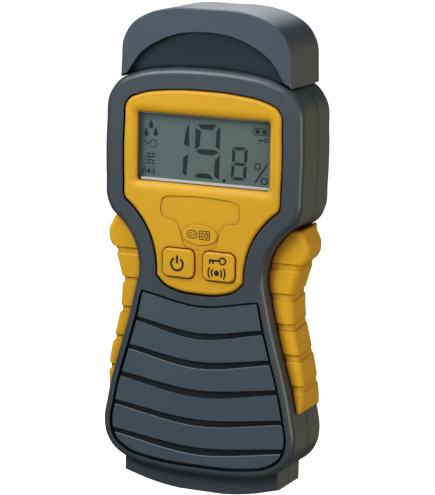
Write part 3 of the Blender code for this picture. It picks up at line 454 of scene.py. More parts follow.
# %% Body outline
HEAD_HALF = 35.8 * MM
HEAD_TOP = shell_high.z
SHOULDER_Z = 97.0 * MM
WAIST_HALF = 23.1 * MM
WAIST_Z = 77.0 * MM
FLARE_HALF = 35.4 * MM
FLARE_Z = 22.0 * MM
BODY_BOTTOM = 6.7 * MM
body = smooth_line(both_sides((
    (0.0, BODY_BOTTOM),
    (FLARE_HALF - 19 * MM, BODY_BOTTOM + 0.7 * MM),
    (FLARE_HALF - 8.2 * MM, BODY_BOTTOM + 3.1 * MM),
    (FLARE_HALF - 3.3 * MM, BODY_BOTTOM + 6.4 * MM),
    (FLARE_HALF - 0.7 * MM, BODY_BOTTOM + 10.8 * MM),
    (FLARE_HALF, FLARE_Z),
    (FLARE_HALF - 1.2 * MM, FLARE_Z + 8.2 * MM),
    (WAIST_HALF + 1.9 * MM, WAIST_Z - 10.8 * MM),
    (WAIST_HALF, WAIST_Z),
    (WAIST_HALF + 2.2 * MM, WAIST_Z + 8.8 * MM),
    (HEAD_HALF - 5.9 * MM, SHOULDER_Z - 5.1 * MM),
    (HEAD_HALF - 2.2 * MM, SHOULDER_Z - 1.8 * MM),
    (HEAD_HALF - 0.4 * MM, SHOULDER_Z + 2.2 * MM),
    (HEAD_HALF, SHOULDER_Z + 9 * MM),
    (HEAD_HALF, HEAD_TOP - 20 * MM),
    (HEAD_HALF - 0.8 * MM, HEAD_TOP - 11 * MM),
    (HEAD_HALF - 4.2 * MM, HEAD_TOP - 6 * MM),
    (HEAD_HALF - 12 * MM, HEAD_TOP - 2.3 * MM),
    (HEAD_HALF - 22 * MM, HEAD_TOP - 0.6 * MM),
    (0.0, HEAD_TOP),
)), closed=True)
print("body outline:", len(body), "points")

# %% [markdown]
# ## Bezel and pad outlines
# Both are the body's line moved inwards and cut off: the bezel ends below the keys in a shallow bowl, and
# the pad starts under it with a sagging edge.

# %% Bezel and pad outlines
BEZEL_RIM = 7.3 * MM
BEZEL_BOTTOM = 69.3 * MM
BEZEL_CORNER_Z = 75.2 * MM
PAD_RIM = 3.3 * MM
PAD_CORNER_Z = 68.3 * MM
PAD_SAG = 3.3 * MM


def bezel_outline():
    """The bezel's outline, counter-clockwise from its lower right corner."""
    line = from_end(inset(body, BEZEL_RIM), lambda point: point.y)
    sides = [point for point in line if point.y > BEZEL_CORNER_Z]
    end = sides[-1].x
    bowl = smooth_line((
        (end, BEZEL_CORNER_Z - 0.6 * MM),
        (end + 2.6 * MM, BEZEL_BOTTOM + 2.6 * MM),
        (end / 2, BEZEL_BOTTOM + 0.6 * MM),
        (0.0, BEZEL_BOTTOM),
        (-end / 2, BEZEL_BOTTOM + 0.6 * MM),
        (-end - 2.6 * MM, BEZEL_BOTTOM + 2.6 * MM),
        (-end, BEZEL_CORNER_Z - 0.6 * MM),
    ))
    return sides + bowl


def pad_outline():
    """The pad's outline, counter-clockwise from its upper left corner."""
    line = from_end(inset(body, PAD_RIM), lambda point: -point.y)
    sides = [point for point in line if point.y < PAD_CORNER_Z - 1 * MM]
    corner = half_width(line, PAD_CORNER_Z)
    top = smooth_line(((corner, PAD_CORNER_Z), (0.0, PAD_CORNER_Z - PAD_SAG), (-corner, PAD_CORNER_Z)))
    return sides + top


bezel_line = bezel_outline()
pad_line = pad_outline()
print("bezel outline:", len(bezel_line), "points; pad outline:", len(pad_line), "points")

# %% [markdown]
# ## Front shell
# The rim that frames the bezel and the pad is one moulding with a large round edge in front, which catches
# the light along the head. Its pockets are cut with the bezel's and the pad's outlines, a little wider, and
# the foot is a second slab joined on, so that both shells share one foot.

# %% Front shell
GAP = 0.3 * MM
WALL = 2.2 * MM
SEAM = shell_high.y - FRONT
PLATE = 3.0 * MM
POCKET = 2.0 * MM
FRONT_ROUND = 2.3 * MM
LIP_ROUND = 0.9 * MM
NECK_CORNER = 3 * MM

neck_low, neck_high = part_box("electrode_carrier")
FOOT_HALF = 28.7 * MM
FOOT_NEAR = 4.2 * MM
FOOT_FAR = 23.0 * MM
FOOT_TOP = 11 * MM
FOOT_ROUND = 0.8 * MM
foot_side = smooth_line(((8 * MM, 0.0), (13 * MM, 0.5 * MM), (18.3 * MM, 1.4 * MM), (FOOT_HALF, 4.1 * MM)))
foot_side.append(Vector((FOOT_HALF, FOOT_TOP)))
foot_line = [Vector((-p.x, p.y)) for p in reversed(foot_side)] + foot_side


def neck_slot():
    """The opening in the head's top that the neck stands in."""
    shape = bmesh.new()
    bmesh.ops.create_cube(shape, size=1.0)
    size = neck_high - neck_low + Vector((2 * GAP, 2 * GAP, 2 * GAP))
    bmesh.ops.scale(shape, vec=size, verts=shape.verts)
    bmesh.ops.translate(shape, vec=(neck_low + neck_high) / 2, verts=shape.verts)
    upright = [edge for edge in shape.edges if abs(edge.verts[0].co.z - edge.verts[1].co.z) > MM]
    round_edges(shape, upright, NECK_CORNER, 6)
    return shape


shape = slab(body, 0.0, SEAM)
round_rim(shape, 0.0, FRONT_ROUND, segments=8)
front_shell = new_piece("front_casing", shape)
foot = slab(foot_line, FOOT_NEAR, SEAM)
round_rim(foot, FOOT_NEAR, FOOT_ROUND, segments=3)
cut(front_shell, foot, "UNION")
cut(front_shell, slab(inset(body, WALL), PLATE, SEAM + WALL))
cut(front_shell, slab(inset(bezel_line, -1.5 * GAP), -WALL, PLATE + WALL))
cut(front_shell, slab(inset(pad_line, -2 * GAP), -WALL, POCKET))
cut(front_shell, neck_slot())
soften(front_shell, LIP_ROUND, segments=4, angle=60)
finished(front_shell, slate, "housing", "slate_plastic", "front_shell")

# %% [markdown]
# ## Rear shell
# Behind the seam the casing keeps the hourglass, with a large round edge at the back that lies well in a
# hand. The battery's bay is a solid block joined on inside and then hollowed out, which leaves its walls.
# Each housing screw sinks into a round recess, made from a circle that is turned up and extruded.

# %% Rear shell
BACK_ROUND = 3.0 * MM
BACK_EDGE = 0.35 * MM
BAY_NEAR = 4.5 * MM
SCREW_SUNK = 1.6 * MM
RECESS_DEEP = 10 * MM

shape = slab(body, SEAM + GAP, DEPTH)
round_rim(shape, DEPTH, BACK_ROUND, segments=8)
rear_shell = new_piece("rear_casing", shape)
foot = slab(foot_line, SEAM + GAP, FOOT_FAR)
round_rim(foot, FOOT_FAR, FOOT_ROUND, segments=3)
cut(rear_shell, foot, "UNION")
cut(rear_shell, slab(inset(body, WALL), SEAM - WALL, DEPTH - WALL))


def door_box(beside, below, above):
    """The battery door's rectangle, made larger on its sides, below and above."""
    half, low, high = door_high.x + beside, door_low.z - below, door_high.z + above
    return [Vector(corner) for corner in ((-half, low), (half, low), (half, high), (-half, high))]


door_low, door_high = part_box("battery_door")
cut(rear_shell, slab(door_box(WALL, WALL, 0.0), BAY_NEAR, DEPTH - WALL + GAP), "UNION")
cut(rear_shell, slab(door_box(GAP, GAP, GAP), 0.0, DEPTH + WALL))
for number in (1, 2, 3, 4):
    low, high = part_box(f"housing_screw_{number}")
    centre = (low + high) / 2
    recess = bmesh.new()
    bmesh.ops.create_circle(recess, cap_ends=True, radius=high.x - centre.x + GAP, segments=32)
    stand_up(recess, (centre.x, high.y - SCREW_SUNK, centre.z))
    grow(recess, recess.faces[:], (0, RECESS_DEEP, 0))
    cut(rear_shell, recess)
cut(rear_shell, neck_slot())
soften(rear_shell, BACK_EDGE, segments=2, angle=60)
finished(rear_shell, slate, "housing", "slate_plastic", "rear_shell")

# %% [markdown]
# ## Bezel
# The yellow plate has a soft outer edge and, round the display, a recess whose wall rolls over from the
# face and falls to a thin lip. A bevel can't make so wide a roll. Its cutter is a stack of rectangles that
# widen along a quarter round towards the viewer, bridged one to the next.

# %% The display's recess
def rounded_box(half_x, half_z, radius, centre=(0.0, 0.0), steps=8):
    """A rectangle's outline with round corners, counter-clockwise."""
    line = []
    for corner, (sx, sz) in enumerate(((1, -1), (1, 1), (-1, 1), (-1, -1))):
        for i in range(steps + 1):
            angle = math.radians(90 * corner - 90 + 90 * i / steps)
            line.append(Vector((
                centre[0] + sx * (half_x - radius) + radius * math.cos(angle),
                centre[1] + sz * (half_z - radius) + radius * math.sin(angle),
            )))
    return line


WINDOW_HALF = 24.0 * MM
WINDOW_LOW, WINDOW_HIGH = 106.1 * MM, 129.1 * MM
WINDOW_Z = (WINDOW_LOW + WINDOW_HIGH) / 2
WINDOW_HALF_Z = (WINDOW_HIGH - WINDOW_LOW) / 2
ROLL = 3.6 * MM
LIP_DEPTH = 1.5 * MM
LIP_CORNER = 1 * MM
BEZEL_THICK = 2.5 * MM
BEZEL_FACE = -0.5 * MM


def window_cutter(steps=12):
    """The display's recess: straight behind the lip, rolling open in front of it."""
    levels = [(BEZEL_THICK + WALL, 0.0)]
    for angle in (math.pi / 2 * step / steps for step in range(steps + 1)):
        depth = LIP_DEPTH + (BEZEL_FACE - LIP_DEPTH) * math.sin(angle)
        levels.append((depth, ROLL * (1 - math.cos(angle))))
    levels.append((-WALL, ROLL))
    rings = []
    for depth, out in levels:
        corner = LIP_CORNER + 0.9 * out
        line = rounded_box(WINDOW_HALF + out, WINDOW_HALF_Z + out, corner, (0.0, WINDOW_Z))
        rings.append([(x, FRONT + depth, z) for x, z in line])
    return lofted(rings)


# %% [markdown]
# ## Holes, crest and badge
# The keys stand in two holes. Above them a crest is engraved into the face, drawn as half an outline with
# tight corners and mirrored. An oval badge stands in it, level with the face, so it is joined on afterwards.

# %% Bezel
BUTTON_HALF, BUTTON_HALF_Z = 5.8 * MM, 4.9 * MM
BUTTON_X, BUTTON_Z = 7.4 * MM, 79.5 * MM
BUTTON_CORNER = 2.2 * MM
CREST_HALF, CREST_TOP, CREST_BOTTOM = 14.3 * MM, 102.4 * MM, 84.2 * MM
ENGRAVED = 0.35 * MM
BADGE_HALF, BADGE_HALF_Z = 6.4 * MM, 3.4 * MM
BADGE_Z = 89.6 * MM
BADGE_BACK = 1.0 * MM
BADGE_ROUND = 0.15 * MM
BADGE_POINTS = 60
BEZEL_ROUND = 1.9 * MM
BEZEL_EDGE = 0.16 * MM
SEAT_RIM = 1.8 * MM


def key_outline(side, wider=0.0):
    """The left key's outline for a side of -1 and the right key's for 1, made wider all round."""
    place = (side * BUTTON_X, BUTTON_Z)
    return rounded_box(BUTTON_HALF + wider, BUTTON_HALF_Z + wider, BUTTON_CORNER + wider, place)


crest_line = smooth_line(both_sides((
    (0.0, CREST_BOTTOM),
    (CREST_HALF - 10.5 * MM, CREST_BOTTOM + 0.1 * MM),
    (CREST_HALF - 9.1 * MM, CREST_BOTTOM + 0.7 * MM),
    (CREST_HALF - 8.2 * MM, CREST_BOTTOM + 2.1 * MM),
    (CREST_HALF - 5.9 * MM, CREST_BOTTOM + 8.4 * MM),
    (CREST_HALF - 5.2 * MM, CREST_BOTTOM + 9.2 * MM),
    (CREST_HALF - 4.3 * MM, CREST_BOTTOM + 9.6 * MM),
    (CREST_HALF - 1.1 * MM, CREST_BOTTOM + 10.2 * MM),
    (CREST_HALF - 0.3 * MM, CREST_BOTTOM + 10.6 * MM),
    (CREST_HALF, CREST_BOTTOM + 11.3 * MM),
    (CREST_HALF, CREST_TOP - 2.7 * MM),
    (CREST_HALF - 0.3 * MM, CREST_TOP - 1.6 * MM),
    (CREST_HALF - 1.2 * MM, CREST_TOP - 1.0 * MM),
    (CREST_HALF - 6 * MM, CREST_TOP - 0.3 * MM),
    (0.0, CREST_TOP),
)), closed=True, step=0.5 * MM)
badge_line = []
for angle in (2 * math.pi * step / BADGE_POINTS for step in range(BADGE_POINTS)):
    badge_line.append(Vector((BADGE_HALF * math.cos(angle), BADGE_Z + BADGE_HALF_Z * math.sin(angle))))

shape = slab(bezel_line, BEZEL_FACE, BEZEL_THICK)
round_rim(shape, BEZEL_FACE, BEZEL_ROUND, segments=8)
bezel = new_piece("bezel", shape)
cut(bezel, window_cutter())
seat = rounded_box(WINDOW_HALF + SEAT_RIM, WINDOW_HALF_Z + SEAT_RIM, LIP_CORNER, (0.0, WINDOW_Z))
cut(bezel, slab(seat, LIP_DEPTH + GAP, BEZEL_THICK + WALL))
for side in (-1, 1):
    cut(bezel, slab(key_outline(side, GAP), -WALL, BEZEL_THICK + WALL))
cut(bezel, slab(crest_line, -WALL, BEZEL_FACE + ENGRAVED))
badge = slab(badge_line, BEZEL_FACE, BADGE_BACK)
round_rim(badge, BEZEL_FACE, BADGE_ROUND, segments=2)
cut(bezel, badge, "UNION")
soften(bezel, BEZEL_EDGE, segments=2, angle=45)
finished(bezel, yellow, "housing", "yellow_plastic", "front_bezel")

# %% [markdown]
# ## Marks
# Printed signs have a little body of ink, so each one here is a very thin slab, which also keeps a crisp
# edge at any zoom. Three small shapes make nearly all of them: a stroke along a line, a ring and a dot.

# %% Strokes, rings and dots
def stroke(points, width, near, far):
    """A line of a given width, as a thin slab with blunt ends."""
    points = [Vector(point) for point in points]
    sides = [Vector((-aim.y, aim.x)).normalized() * width / 2 for aim in headings(points, False)]
    right = [point - side for point, side in zip(points, sides)]
    left = [point + side for point, side in zip(points, sides)]
    return slab(right + left[::-1], near, far)


def arc(centre, radius, start, end, steps=20):
    """Points on an arc between two angles in degrees."""
    angles = [math.radians(start + (end - start) * i / steps) for i in range(steps + 1)]
    return [Vector((centre[0] + radius * math.cos(a), centre[1] + radius * math.sin(a))) for a in angles]


def dot(centre, radius, near, far):
    """A filled round mark."""
    return slab(arc(centre, radius, 0, 360, 24)[:-1], near, far)


def ring(centre, radius, width, near, far):
    """A round line, from a disc whose middle is inset and removed."""
    shape = bmesh.new()
    bmesh.ops.create_circle(shape, cap_ends=True, radius=radius, segments=32)
    stand_up(shape, (centre[0], FRONT + near, centre[1]))
    middle = shape.faces[:]
    bmesh.ops.inset_region(shape, faces=middle, thickness=width, use_boundary=True, use_even_offset=True)
    bmesh.ops.delete(shape, geom=middle, context="FACES_ONLY")
    grow(shape, shape.faces[:], (0, far - near, 0))
    return shape


def together(shapes):
    """Several bmeshes as one."""
    whole = bmesh.new()
    for shape in shapes:
        mesh = to_mesh(shape, "mark")
        whole.from_mesh(mesh)
        bpy.data.meshes.remove(mesh)
    return whole


def millimetres(points):
    """Points given in millimetres, in metres."""
    return [(x * MM, z * MM) for x, z in points]


# %% [markdown]
# ## Material signs in the badge
# The oval badge holds two tiny signs for what the meter can test: a log with its rings and a piece of wall.

# %% Badge signs
SIGN_NEAR, SIGN_FAR = BEZEL_FACE - 0.03 * MM, BEZEL_FACE + 0.1 * MM
SIGN_LINE, SIGN_THIN = 0.3 * MM, 0.24 * MM


def badge_stroke(points):
    """A thin line on the badge, in millimetres."""
    return stroke(millimetres(points), SIGN_THIN, SIGN_NEAR, SIGN_FAR)


log_line = rounded_box(1.75 * MM, 1.25 * MM, 1.0 * MM, (-2.7 * MM, BADGE_Z), steps=5)
wall_line = rounded_box(1.85 * MM, 1.45 * MM, 0.3 * MM, (1.8 * MM, BADGE_Z), steps=3)
signs = [stroke(line + line[:1], SIGN_LINE, SIGN_NEAR, SIGN_FAR) for line in (log_line, wall_line)]
signs.append(stroke(arc((-3.2 * MM, BADGE_Z), 0.55 * MM, 40, 330), SIGN_THIN, SIGN_NEAR, SIGN_FAR))
signs.append(badge_stroke(((-2.3, 89.9), (-1.3, 89.9))))
signs.append(badge_stroke(((-2.3, 89.2), (-1.5, 89.2))))
for height in (89.1, 90.1):
    signs.append(badge_stroke(((-0.05, height), (3.65, height))))
for x, low in ((1.2, 88.2), (2.6, 88.2), (0.7, 89.1), (1.9, 89.1), (3.0, 89.1), (1.2, 90.1), (2.6, 90.1)):
    signs.append(badge_stroke(((x, low), (x, low + 0.95))))
finished(new_piece("badge_signs", together(signs)), brown_ink, "housing", "yellow_plastic")

# %% [markdown]
# ## Keys
# Each key is a rounded square that stands a little proud and has a hidden flange behind the bezel, which
# stops it from falling out. A soft edge all round its face catches the light. Key and sign ride on the
# key's own body, so they sink together when it is pressed.

# %% Keys
KEY_FACE = -1.46 * MM
KEY_ROUND = 0.75 * MM
KEY_BACK = BEZEL_THICK + GAP
KEY_FLANGE = 0.8 * MM
KEY_FLANGE_BACK = KEY_BACK + 0.9 * MM


def key(name, side, body_name, stands_for):
    """A key with its flange."""
    shape = slab(key_outline(side), KEY_FACE, KEY_BACK)
    round_rim(shape, KEY_FACE, KEY_ROUND, segments=6)
    piece = new_piece(name, shape)
    cut(piece, slab(key_outline(side, KEY_FLANGE), KEY_BACK, KEY_FLANGE_BACK), "UNION")
    return finished(piece, yellow, body_name, "yellow_plastic", stands_for)


key("power_key_cap", -1, "power_key", "power_button")
key("hold_key_cap", 1, "hold_key", "hold_button")

# %% [markdown]
# ## Signs on the keys
# One key switches the meter on: an open ring with a bar. The other holds a reading, shown by a small key to
# lock with, and sets the sound, shown by a dot between four waves.

# %% Signs on the keys
INK_NEAR, INK_FAR = -1.50 * MM, KEY_FACE + 0.1 * MM
power_at = Vector((-BUTTON_X - 0.2 * MM, BUTTON_Z - 0.3 * MM))
power_bar = [power_at + Vector((0, height * MM)) for height in (0.2, 2.9)]
power_sign = [
    stroke(arc(power_at, 2.15 * MM, 125, 415, 36), 0.72 * MM, INK_NEAR, INK_FAR),
    stroke(power_bar, 0.75 * MM, INK_NEAR, INK_FAR),
]
finished(new_piece("power_sign", together(power_sign)), ink, "power_key", "black_plastic")

lock_at = Vector((BUTTON_X + 1.6 * MM, BUTTON_Z + 2.2 * MM))
sound_at = Vector((BUTTON_X - 0.5 * MM, BUTTON_Z - 2.0 * MM))
hold_sign = [
    ring(lock_at, 1.35 * MM, 0.5 * MM, INK_NEAR, INK_FAR),
    dot(sound_at, 0.95 * MM, INK_NEAR, INK_FAR),
]
for start, end in (((-1.2, 0), (-4.9, 0)), ((-3.4, 0), (-3.4, -1.15)), ((-4.6, 0), (-4.6, -1.15))):
    line = [lock_at + Vector(point) * MM for point in (start, end)]
    hold_sign.append(stroke(line, 0.62 * MM, INK_NEAR, INK_FAR))
for radius, spread in ((1.85, 42), (3.05, 36)):
    for facing in (0, 180):
        line = arc(sound_at, radius * MM, facing - spread, facing + spread, 10)
        hold_sign.append(stroke(line, 0.55 * MM, INK_NEAR, INK_FAR))
finished(new_piece("hold_sign", together(hold_sign)), ink, "hold_key", "black_plastic")

# %% [markdown]
# ## Display
# Behind the bezel lie a clear window, then the liquid crystal panel with its dark segments. The segments
# float a hair in front of the reflector, as they do in a real panel, so they throw a faint shadow on it.
# Two thin pale bars, above and below, are painted highlights where the edges of the glass catch the light.

# %% Panel and window
PANEL_DEPTH = 3.5 * MM
PANEL_CORNER, PANEL_ROUND = 0.4 * MM, 0.12 * MM
PANE_ROUND = 0.15 * MM
panel_low, panel_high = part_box("lcd_glass")
panel_half_z = (panel_high.z - panel_low.z) / 2
panel_z = (panel_high.z + panel_low.z) / 2
panel_line = rounded_box(panel_high.x, panel_half_z, PANEL_CORNER, (0.0, panel_z), steps=3)
shape = slab(panel_line, PANEL_DEPTH, panel_high.y - FRONT)
round_rim(shape, PANEL_DEPTH, PANEL_ROUND, segments=2)
finished(new_piece("display_panel", shape), reflector, "housing", "display_glass", "lcd_glass")

pane_low, pane_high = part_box("display_window")
pane_line = rounded_box(pane_high.x, (pane_high.z - pane_low.z) / 2, LIP_CORNER, (0.0, WINDOW_Z))
shape = slab(pane_line, pane_low.y - FRONT, pane_high.y - FRONT)
round_rim(shape, pane_low.y - FRONT, PANE_ROUND, segments=2)
finished(new_piece("window_pane", shape), clear_plate, "housing", "clear_plastic", "display_window")

EDGE_NEAR, EDGE_FAR = 2.75 * MM, 3.2 * MM
EDGE_HALF, EDGE_X = WINDOW_HALF - 0.3 * MM, 0.2 * MM
lower_edge = rounded_box(EDGE_HALF, 0.42 * MM, 0.3 * MM, (EDGE_X, WINDOW_LOW + 0.42 * MM))
upper_edge = rounded_box(EDGE_HALF, 0.22 * MM, 0.2 * MM, (EDGE_X, WINDOW_HIGH - 0.2 * MM))
# The two bars are painted highlights along the window's lower and upper edges.
edge_highlight_bars = together([slab(line, EDGE_NEAR, EDGE_FAR) for line in (lower_edge, upper_edge)])
finished(new_piece("edge_highlight_bars", edge_highlight_bars), edge_highlight_grey, "housing", "display_glass")

# %% [markdown]
# ## Segments and signs on the panel
# The figures are made of tapered bars with a slight slant. Each bar has its own few corners, in
# millimetres, since no two taper alike. A reading with a decimal point and a per cent sign is shown.

# %% Segments
SEGMENT_NEAR, SEGMENT_FAR = 3.36 * MM, 3.46 * MM
BARS = (
    ((-6.4, 125.8), (-6.2, 118.3), (-8.1, 119.0), (-7.5, 123.6)),
    ((-6.5, 115.7), (-7.2, 108.3), (-8.4, 109.4), (-8.2, 114.5)),
    ((-3.0, 126.0), (3.8, 126.5), (2.0, 124.4), (-1.8, 124.6)),
    ((5.1, 125.9), (4.9, 118.1), (3.5, 119.0), (3.7, 124.0)),
    ((-3.9, 124.7), (-4.0, 117.5), (-2.5, 118.7), (-2.0, 123.8)),
    ((-3.6, 117.1), (-2.3, 117.9), (2.9, 117.9), (4.6, 117.3), (2.7, 116.1), (-2.2, 116.1)),
    ((5.0, 116.3), (4.8, 108.0), (3.1, 109.4), (3.4, 114.5)),
    ((-4.0, 108.8), (-2.1, 109.7), (1.2, 109.7), (3.1, 108.1), (-3.1, 108.1)),
)
SMALL_BARS = (
    ((10.0, 119.6), (14.4, 119.6), (13.5, 118.6), (10.8, 118.6)),
    ((10.0, 113.9), (10.7, 114.4), (13.9, 114.4), (14.5, 113.9), (13.8, 113.4), (10.6, 113.4)),
    ((9.6, 108.5), (14.1, 108.5), (13.2, 109.5), (10.3, 109.5)),
    ((9.6, 119.1), (9.5, 114.4), (10.5, 114.9), (10.6, 118.3)),
    ((15.0, 119.1), (14.9, 114.4), (13.9, 114.9), (13.9, 118.3)),
    ((9.4, 113.4), (9.2, 108.9), (10.1, 109.8), (10.4, 112.9)),
    ((14.8, 113.4), (14.6, 108.9), (13.6, 109.8), (13.8, 112.9)),
)


def bar(corners):
    """One bar, its corners taken counter-clockwise."""
    return slab([Vector(corner) * MM for corner in corners], SEGMENT_NEAR, SEGMENT_FAR)


def drop(x, z, half):
    """A water drop: a round bottom drawn up to a point."""
    round_part = arc((x, z), half, -215, 35, 16)
    return slab(round_part + [Vector((x, z + 2.9 * half))], SEGMENT_NEAR, SEGMENT_FAR)


def panel_stroke(points, width):
    """A thin line on the panel, in millimetres."""
    return stroke(millimetres(points), width * MM, SEGMENT_NEAR, SEGMENT_FAR)


def panel_dot(x, z, radius):
    """A filled round mark on the panel, in millimetres."""
    return dot((x * MM, z * MM), radius * MM, SEGMENT_NEAR, SEGMENT_FAR)


def panel_ring(x, z, radius, width):
    """A round line on the panel, in millimetres."""
    return ring((x * MM, z * MM), radius * MM, width * MM, SEGMENT_NEAR, SEGMENT_FAR)


shapes = [bar(corners) for corners in BARS + SMALL_BARS]
shapes.append(panel_dot(6.8, 107.9, 0.62))
for x, z in ((18.7, 113.7), (21.2, 108.9)):
    shapes.append(panel_ring(x, z, 1.2, 0.34))
shapes.append(panel_stroke(((17.8, 108.1), (22.1, 114.6)), 0.42))
for x, z in ((-20.3, 124.3), (-22.0, 121.4), (-18.5, 121.7)):
    shapes.append(drop(x * MM, z * MM, 0.78 * MM))
finished(new_piece("display_figures", together(shapes)), segment, "housing", "display_glass")

# %% [markdown]
# ## Small signs on the panel
# Down the left side stand a wood shaving, a piece of wall and a sounding dot; at the upper right, a battery
# and a small key. All are fine strokes, drawn in millimetres and thin enough to read as print.

# %% Small signs on the panel
FINE = 0.24
SHAVING = ((-22.6, 119.4), (-21.2, 118.0), (-19.8, 119.6), (-18.4, 119.2),
           (-18.2, 117.6), (-19.4, 117.0), (-20.4, 117.5))
SOUND_X, SOUND_Z = -20.9, 108.9
shapes = [panel_stroke(smooth_line(SHAVING, step=0.3), FINE)]
for height in (111.6, 112.7, 113.8, 114.9):
    shapes.append(panel_stroke(((-22.2, height), (-18.4, height)), FINE))
for x, low in ((-21.0, 111.6), (-19.5, 111.6), (-20.4, 112.7), (-21.0, 113.8), (-19.5, 113.8)):
    shapes.append(panel_stroke(((x, low), (x, low + 1.1)), FINE))
shapes.append(panel_dot(SOUND_X, SOUND_Z, 0.62))
for radius in (1.3, 2.1):
    for facing in (0, 180):
        shapes.append(panel_stroke(arc((SOUND_X, SOUND_Z), radius, facing - 36, facing + 36, 8), FINE))
battery = ((16.6, 125.2), (17.6, 124.1), (22.4, 124.1), (22.4, 126.4), (17.6, 126.4))
for start, end in zip(battery, battery[1:] + battery[:1]):
    shapes.append(panel_stroke((start, end), FINE))
for x in (18.5, 20.9):
    cell = rounded_box(0.75 * MM, 0.7 * MM, 0.1 * MM, (x * MM, 125.25 * MM), steps=2)
    shapes.append(slab(cell, SEGMENT_NEAR, SEGMENT_FAR))
shapes.append(panel_ring(21.7, 122.5, 0.75, FINE))
for start, end in (((21.0, 122.5), (18.9, 122.5)), ((19.2, 122.5), (19.2, 121.8)),
                   ((20.0, 122.5), (20.0, 121.9))):
    shapes.append(panel_stroke((start, end), FINE * 1.2))
finished(new_piece("display_signs", together(shapes)), segment, "housing", "display_glass")

# %% [markdown]
# ## Stepped pad
# The thumb pad is a row of broad steps with sagging grooves between them, wider in the middle than at their
# ends. Each step is its own island with a rolled edge, standing on a thin plate, because a groove cut
# into one block would pinch out at its ends. The plate is painted dark, as painted shade in the grooves.

# %% Pad with its steps
STEP_FRONT = 0.15 * MM
STEP_BACK = 1.65 * MM
PAD_FLOOR = 1.55 * MM
PAD_BACK = POCKET - GAP
STEP_COUNT = 5
STEP_FIRST_Z = 59.4 * MM
STEP_PITCH = 9.95 * MM
STEP_SAG = 3.3 * MM
GROOVE_END = 1.45 * MM
GROOVE_MIDDLE = 2.3 * MM
STEP_ROUND = 0.6 * MM
STEP_WELD = 0.02 * MM
ISLAND_RIM = 0.3 * MM

island_line = from_end(inset(body, PAD_RIM + ISLAND_RIM), lambda point: -point.y)
pad_top_z = PAD_CORNER_Z - 0.2 * MM


def sagging(end_z, sag, half):
    """A line that sags from side to side, from right to left."""
    return smooth_line(((half, end_z), (0.0, end_z - sag), (-half, end_z)))


def step_island(number):
    """The outline of one step between its two grooves."""
    low_z = STEP_FIRST_Z - number * STEP_PITCH
    high_z = low_z + STEP_PITCH - GROOVE_END
    upper_sag = STEP_SAG + GROOVE_MIDDLE - GROOVE_END
    if number == 0:
        high_z, upper_sag = pad_top_z, PAD_SAG
    upper = sagging(high_z, upper_sag, half_width(island_line, high_z - 0.01 * MM))
    if number == STEP_COUNT:
        under = [point for point in island_line if point.y < high_z]
        return under + upper[1:-1]
    lower = sagging(low_z, STEP_SAG, half_width(island_line, low_z))[::-1]
    right = [point for point in island_line if point.x > 0 and low_z < point.y < high_z]
    left = [point for point in island_line if point.x < 0 and low_z < point.y < high_z]
    right.sort(key=lambda point: point.y)
    left.sort(key=lambda point: -point.y)
    return lower + right + upper + left


steps = []
for number in range(STEP_COUNT + 1):
    shape = slab(step_island(number), STEP_FRONT, STEP_BACK)
    bmesh.ops.remove_doubles(shape, verts=shape.verts, dist=STEP_WELD)
    round_rim(shape, STEP_FRONT, STEP_ROUND, segments=5)
    steps.append(shape)
finished(new_piece("stepped_pad", together(steps)), pad_slate_lit_copy, "housing", "slate_plastic", "grip_pad")
# The plate's dark slate is painted shade in the grooves between the steps.
plate = slab(pad_line, PAD_FLOOR, PAD_BACK)
finished(new_piece("pad_plate", plate), painted_shade_slate, "housing", "slate_plastic")

# %% [markdown]
# ## Side grips
# A grip swells beside the waist and is wrapped by five sunk bands. It is lofted: one closed section at
# about every third of a millimetre of height, each from the body's edge to the bulge, drawn in a little
# where a band runs. Its front leans outwards and its back follows the casing's round edge.

# %% Side grips
GRIP_BULGE = (
    (31.0 * MM, 0.9 * MM), (36.0 * MM, 2.2 * MM), (45.0 * MM, 3.6 * MM), (62.0 * MM, 4.8 * MM),
    (70.2 * MM, 6.3 * MM), (76.3 * MM, 8.7 * MM), (80.6 * MM, 9.7 * MM), (83.8 * MM, 10.8 * MM),
    (86.5 * MM, 9.9 * MM), (90.6 * MM, 5.4 * MM), (93.0 * MM, 1.8 * MM),
)
GRIP_NEAR, GRIP_FAR = 5.0 * MM, 24.0 * MM
GRIP_CORNER, GRIP_BACK_CORNER = 2.2 * MM, 3.2 * MM
GRIP_FRONT_SPREAD, GRIP_BACK_DRAFT = 1.3 * MM, 0.6 * MM
GRIP_FULL_BULGE = 3.0 * MM
BAND_FIRST, BAND_PITCH, BAND_COUNT = 39.5 * MM, 10.25 * MM, 5
BAND_HALF, BAND_DEPTH, BAND_EDGE = 1.15 * MM, 0.55 * MM, 0.35 * MM
SECTION_STEP = 0.35 * MM
GRIP_END, GRIP_END_DROP = 0.8 * MM, 0.5 * MM
bulge_line = smooth_line(GRIP_BULGE, step=0.3 * MM)


def bulge(height):
    """How far the grips stand out past the body at a height."""
    for start, end in zip(bulge_line, bulge_line[1:]):
        if start.x <= height <= end.x:
            return start.y + (end.y - start.y) * (height - start.x) / (end.x - start.x)
    return 0.0


def sunk(height):
    """How deep the grip's surface is sunk at a height."""
    number = round((height - BAND_FIRST) / BAND_PITCH)
    if not 0 <= number < BAND_COUNT:
        return 0.0
    off = abs(height - BAND_FIRST - number * BAND_PITCH)
    share = min(1.0, max(0.0, (BAND_HALF + BAND_EDGE / 2 - off) / BAND_EDGE))
    return BAND_DEPTH * share * share * (3 - 2 * share)


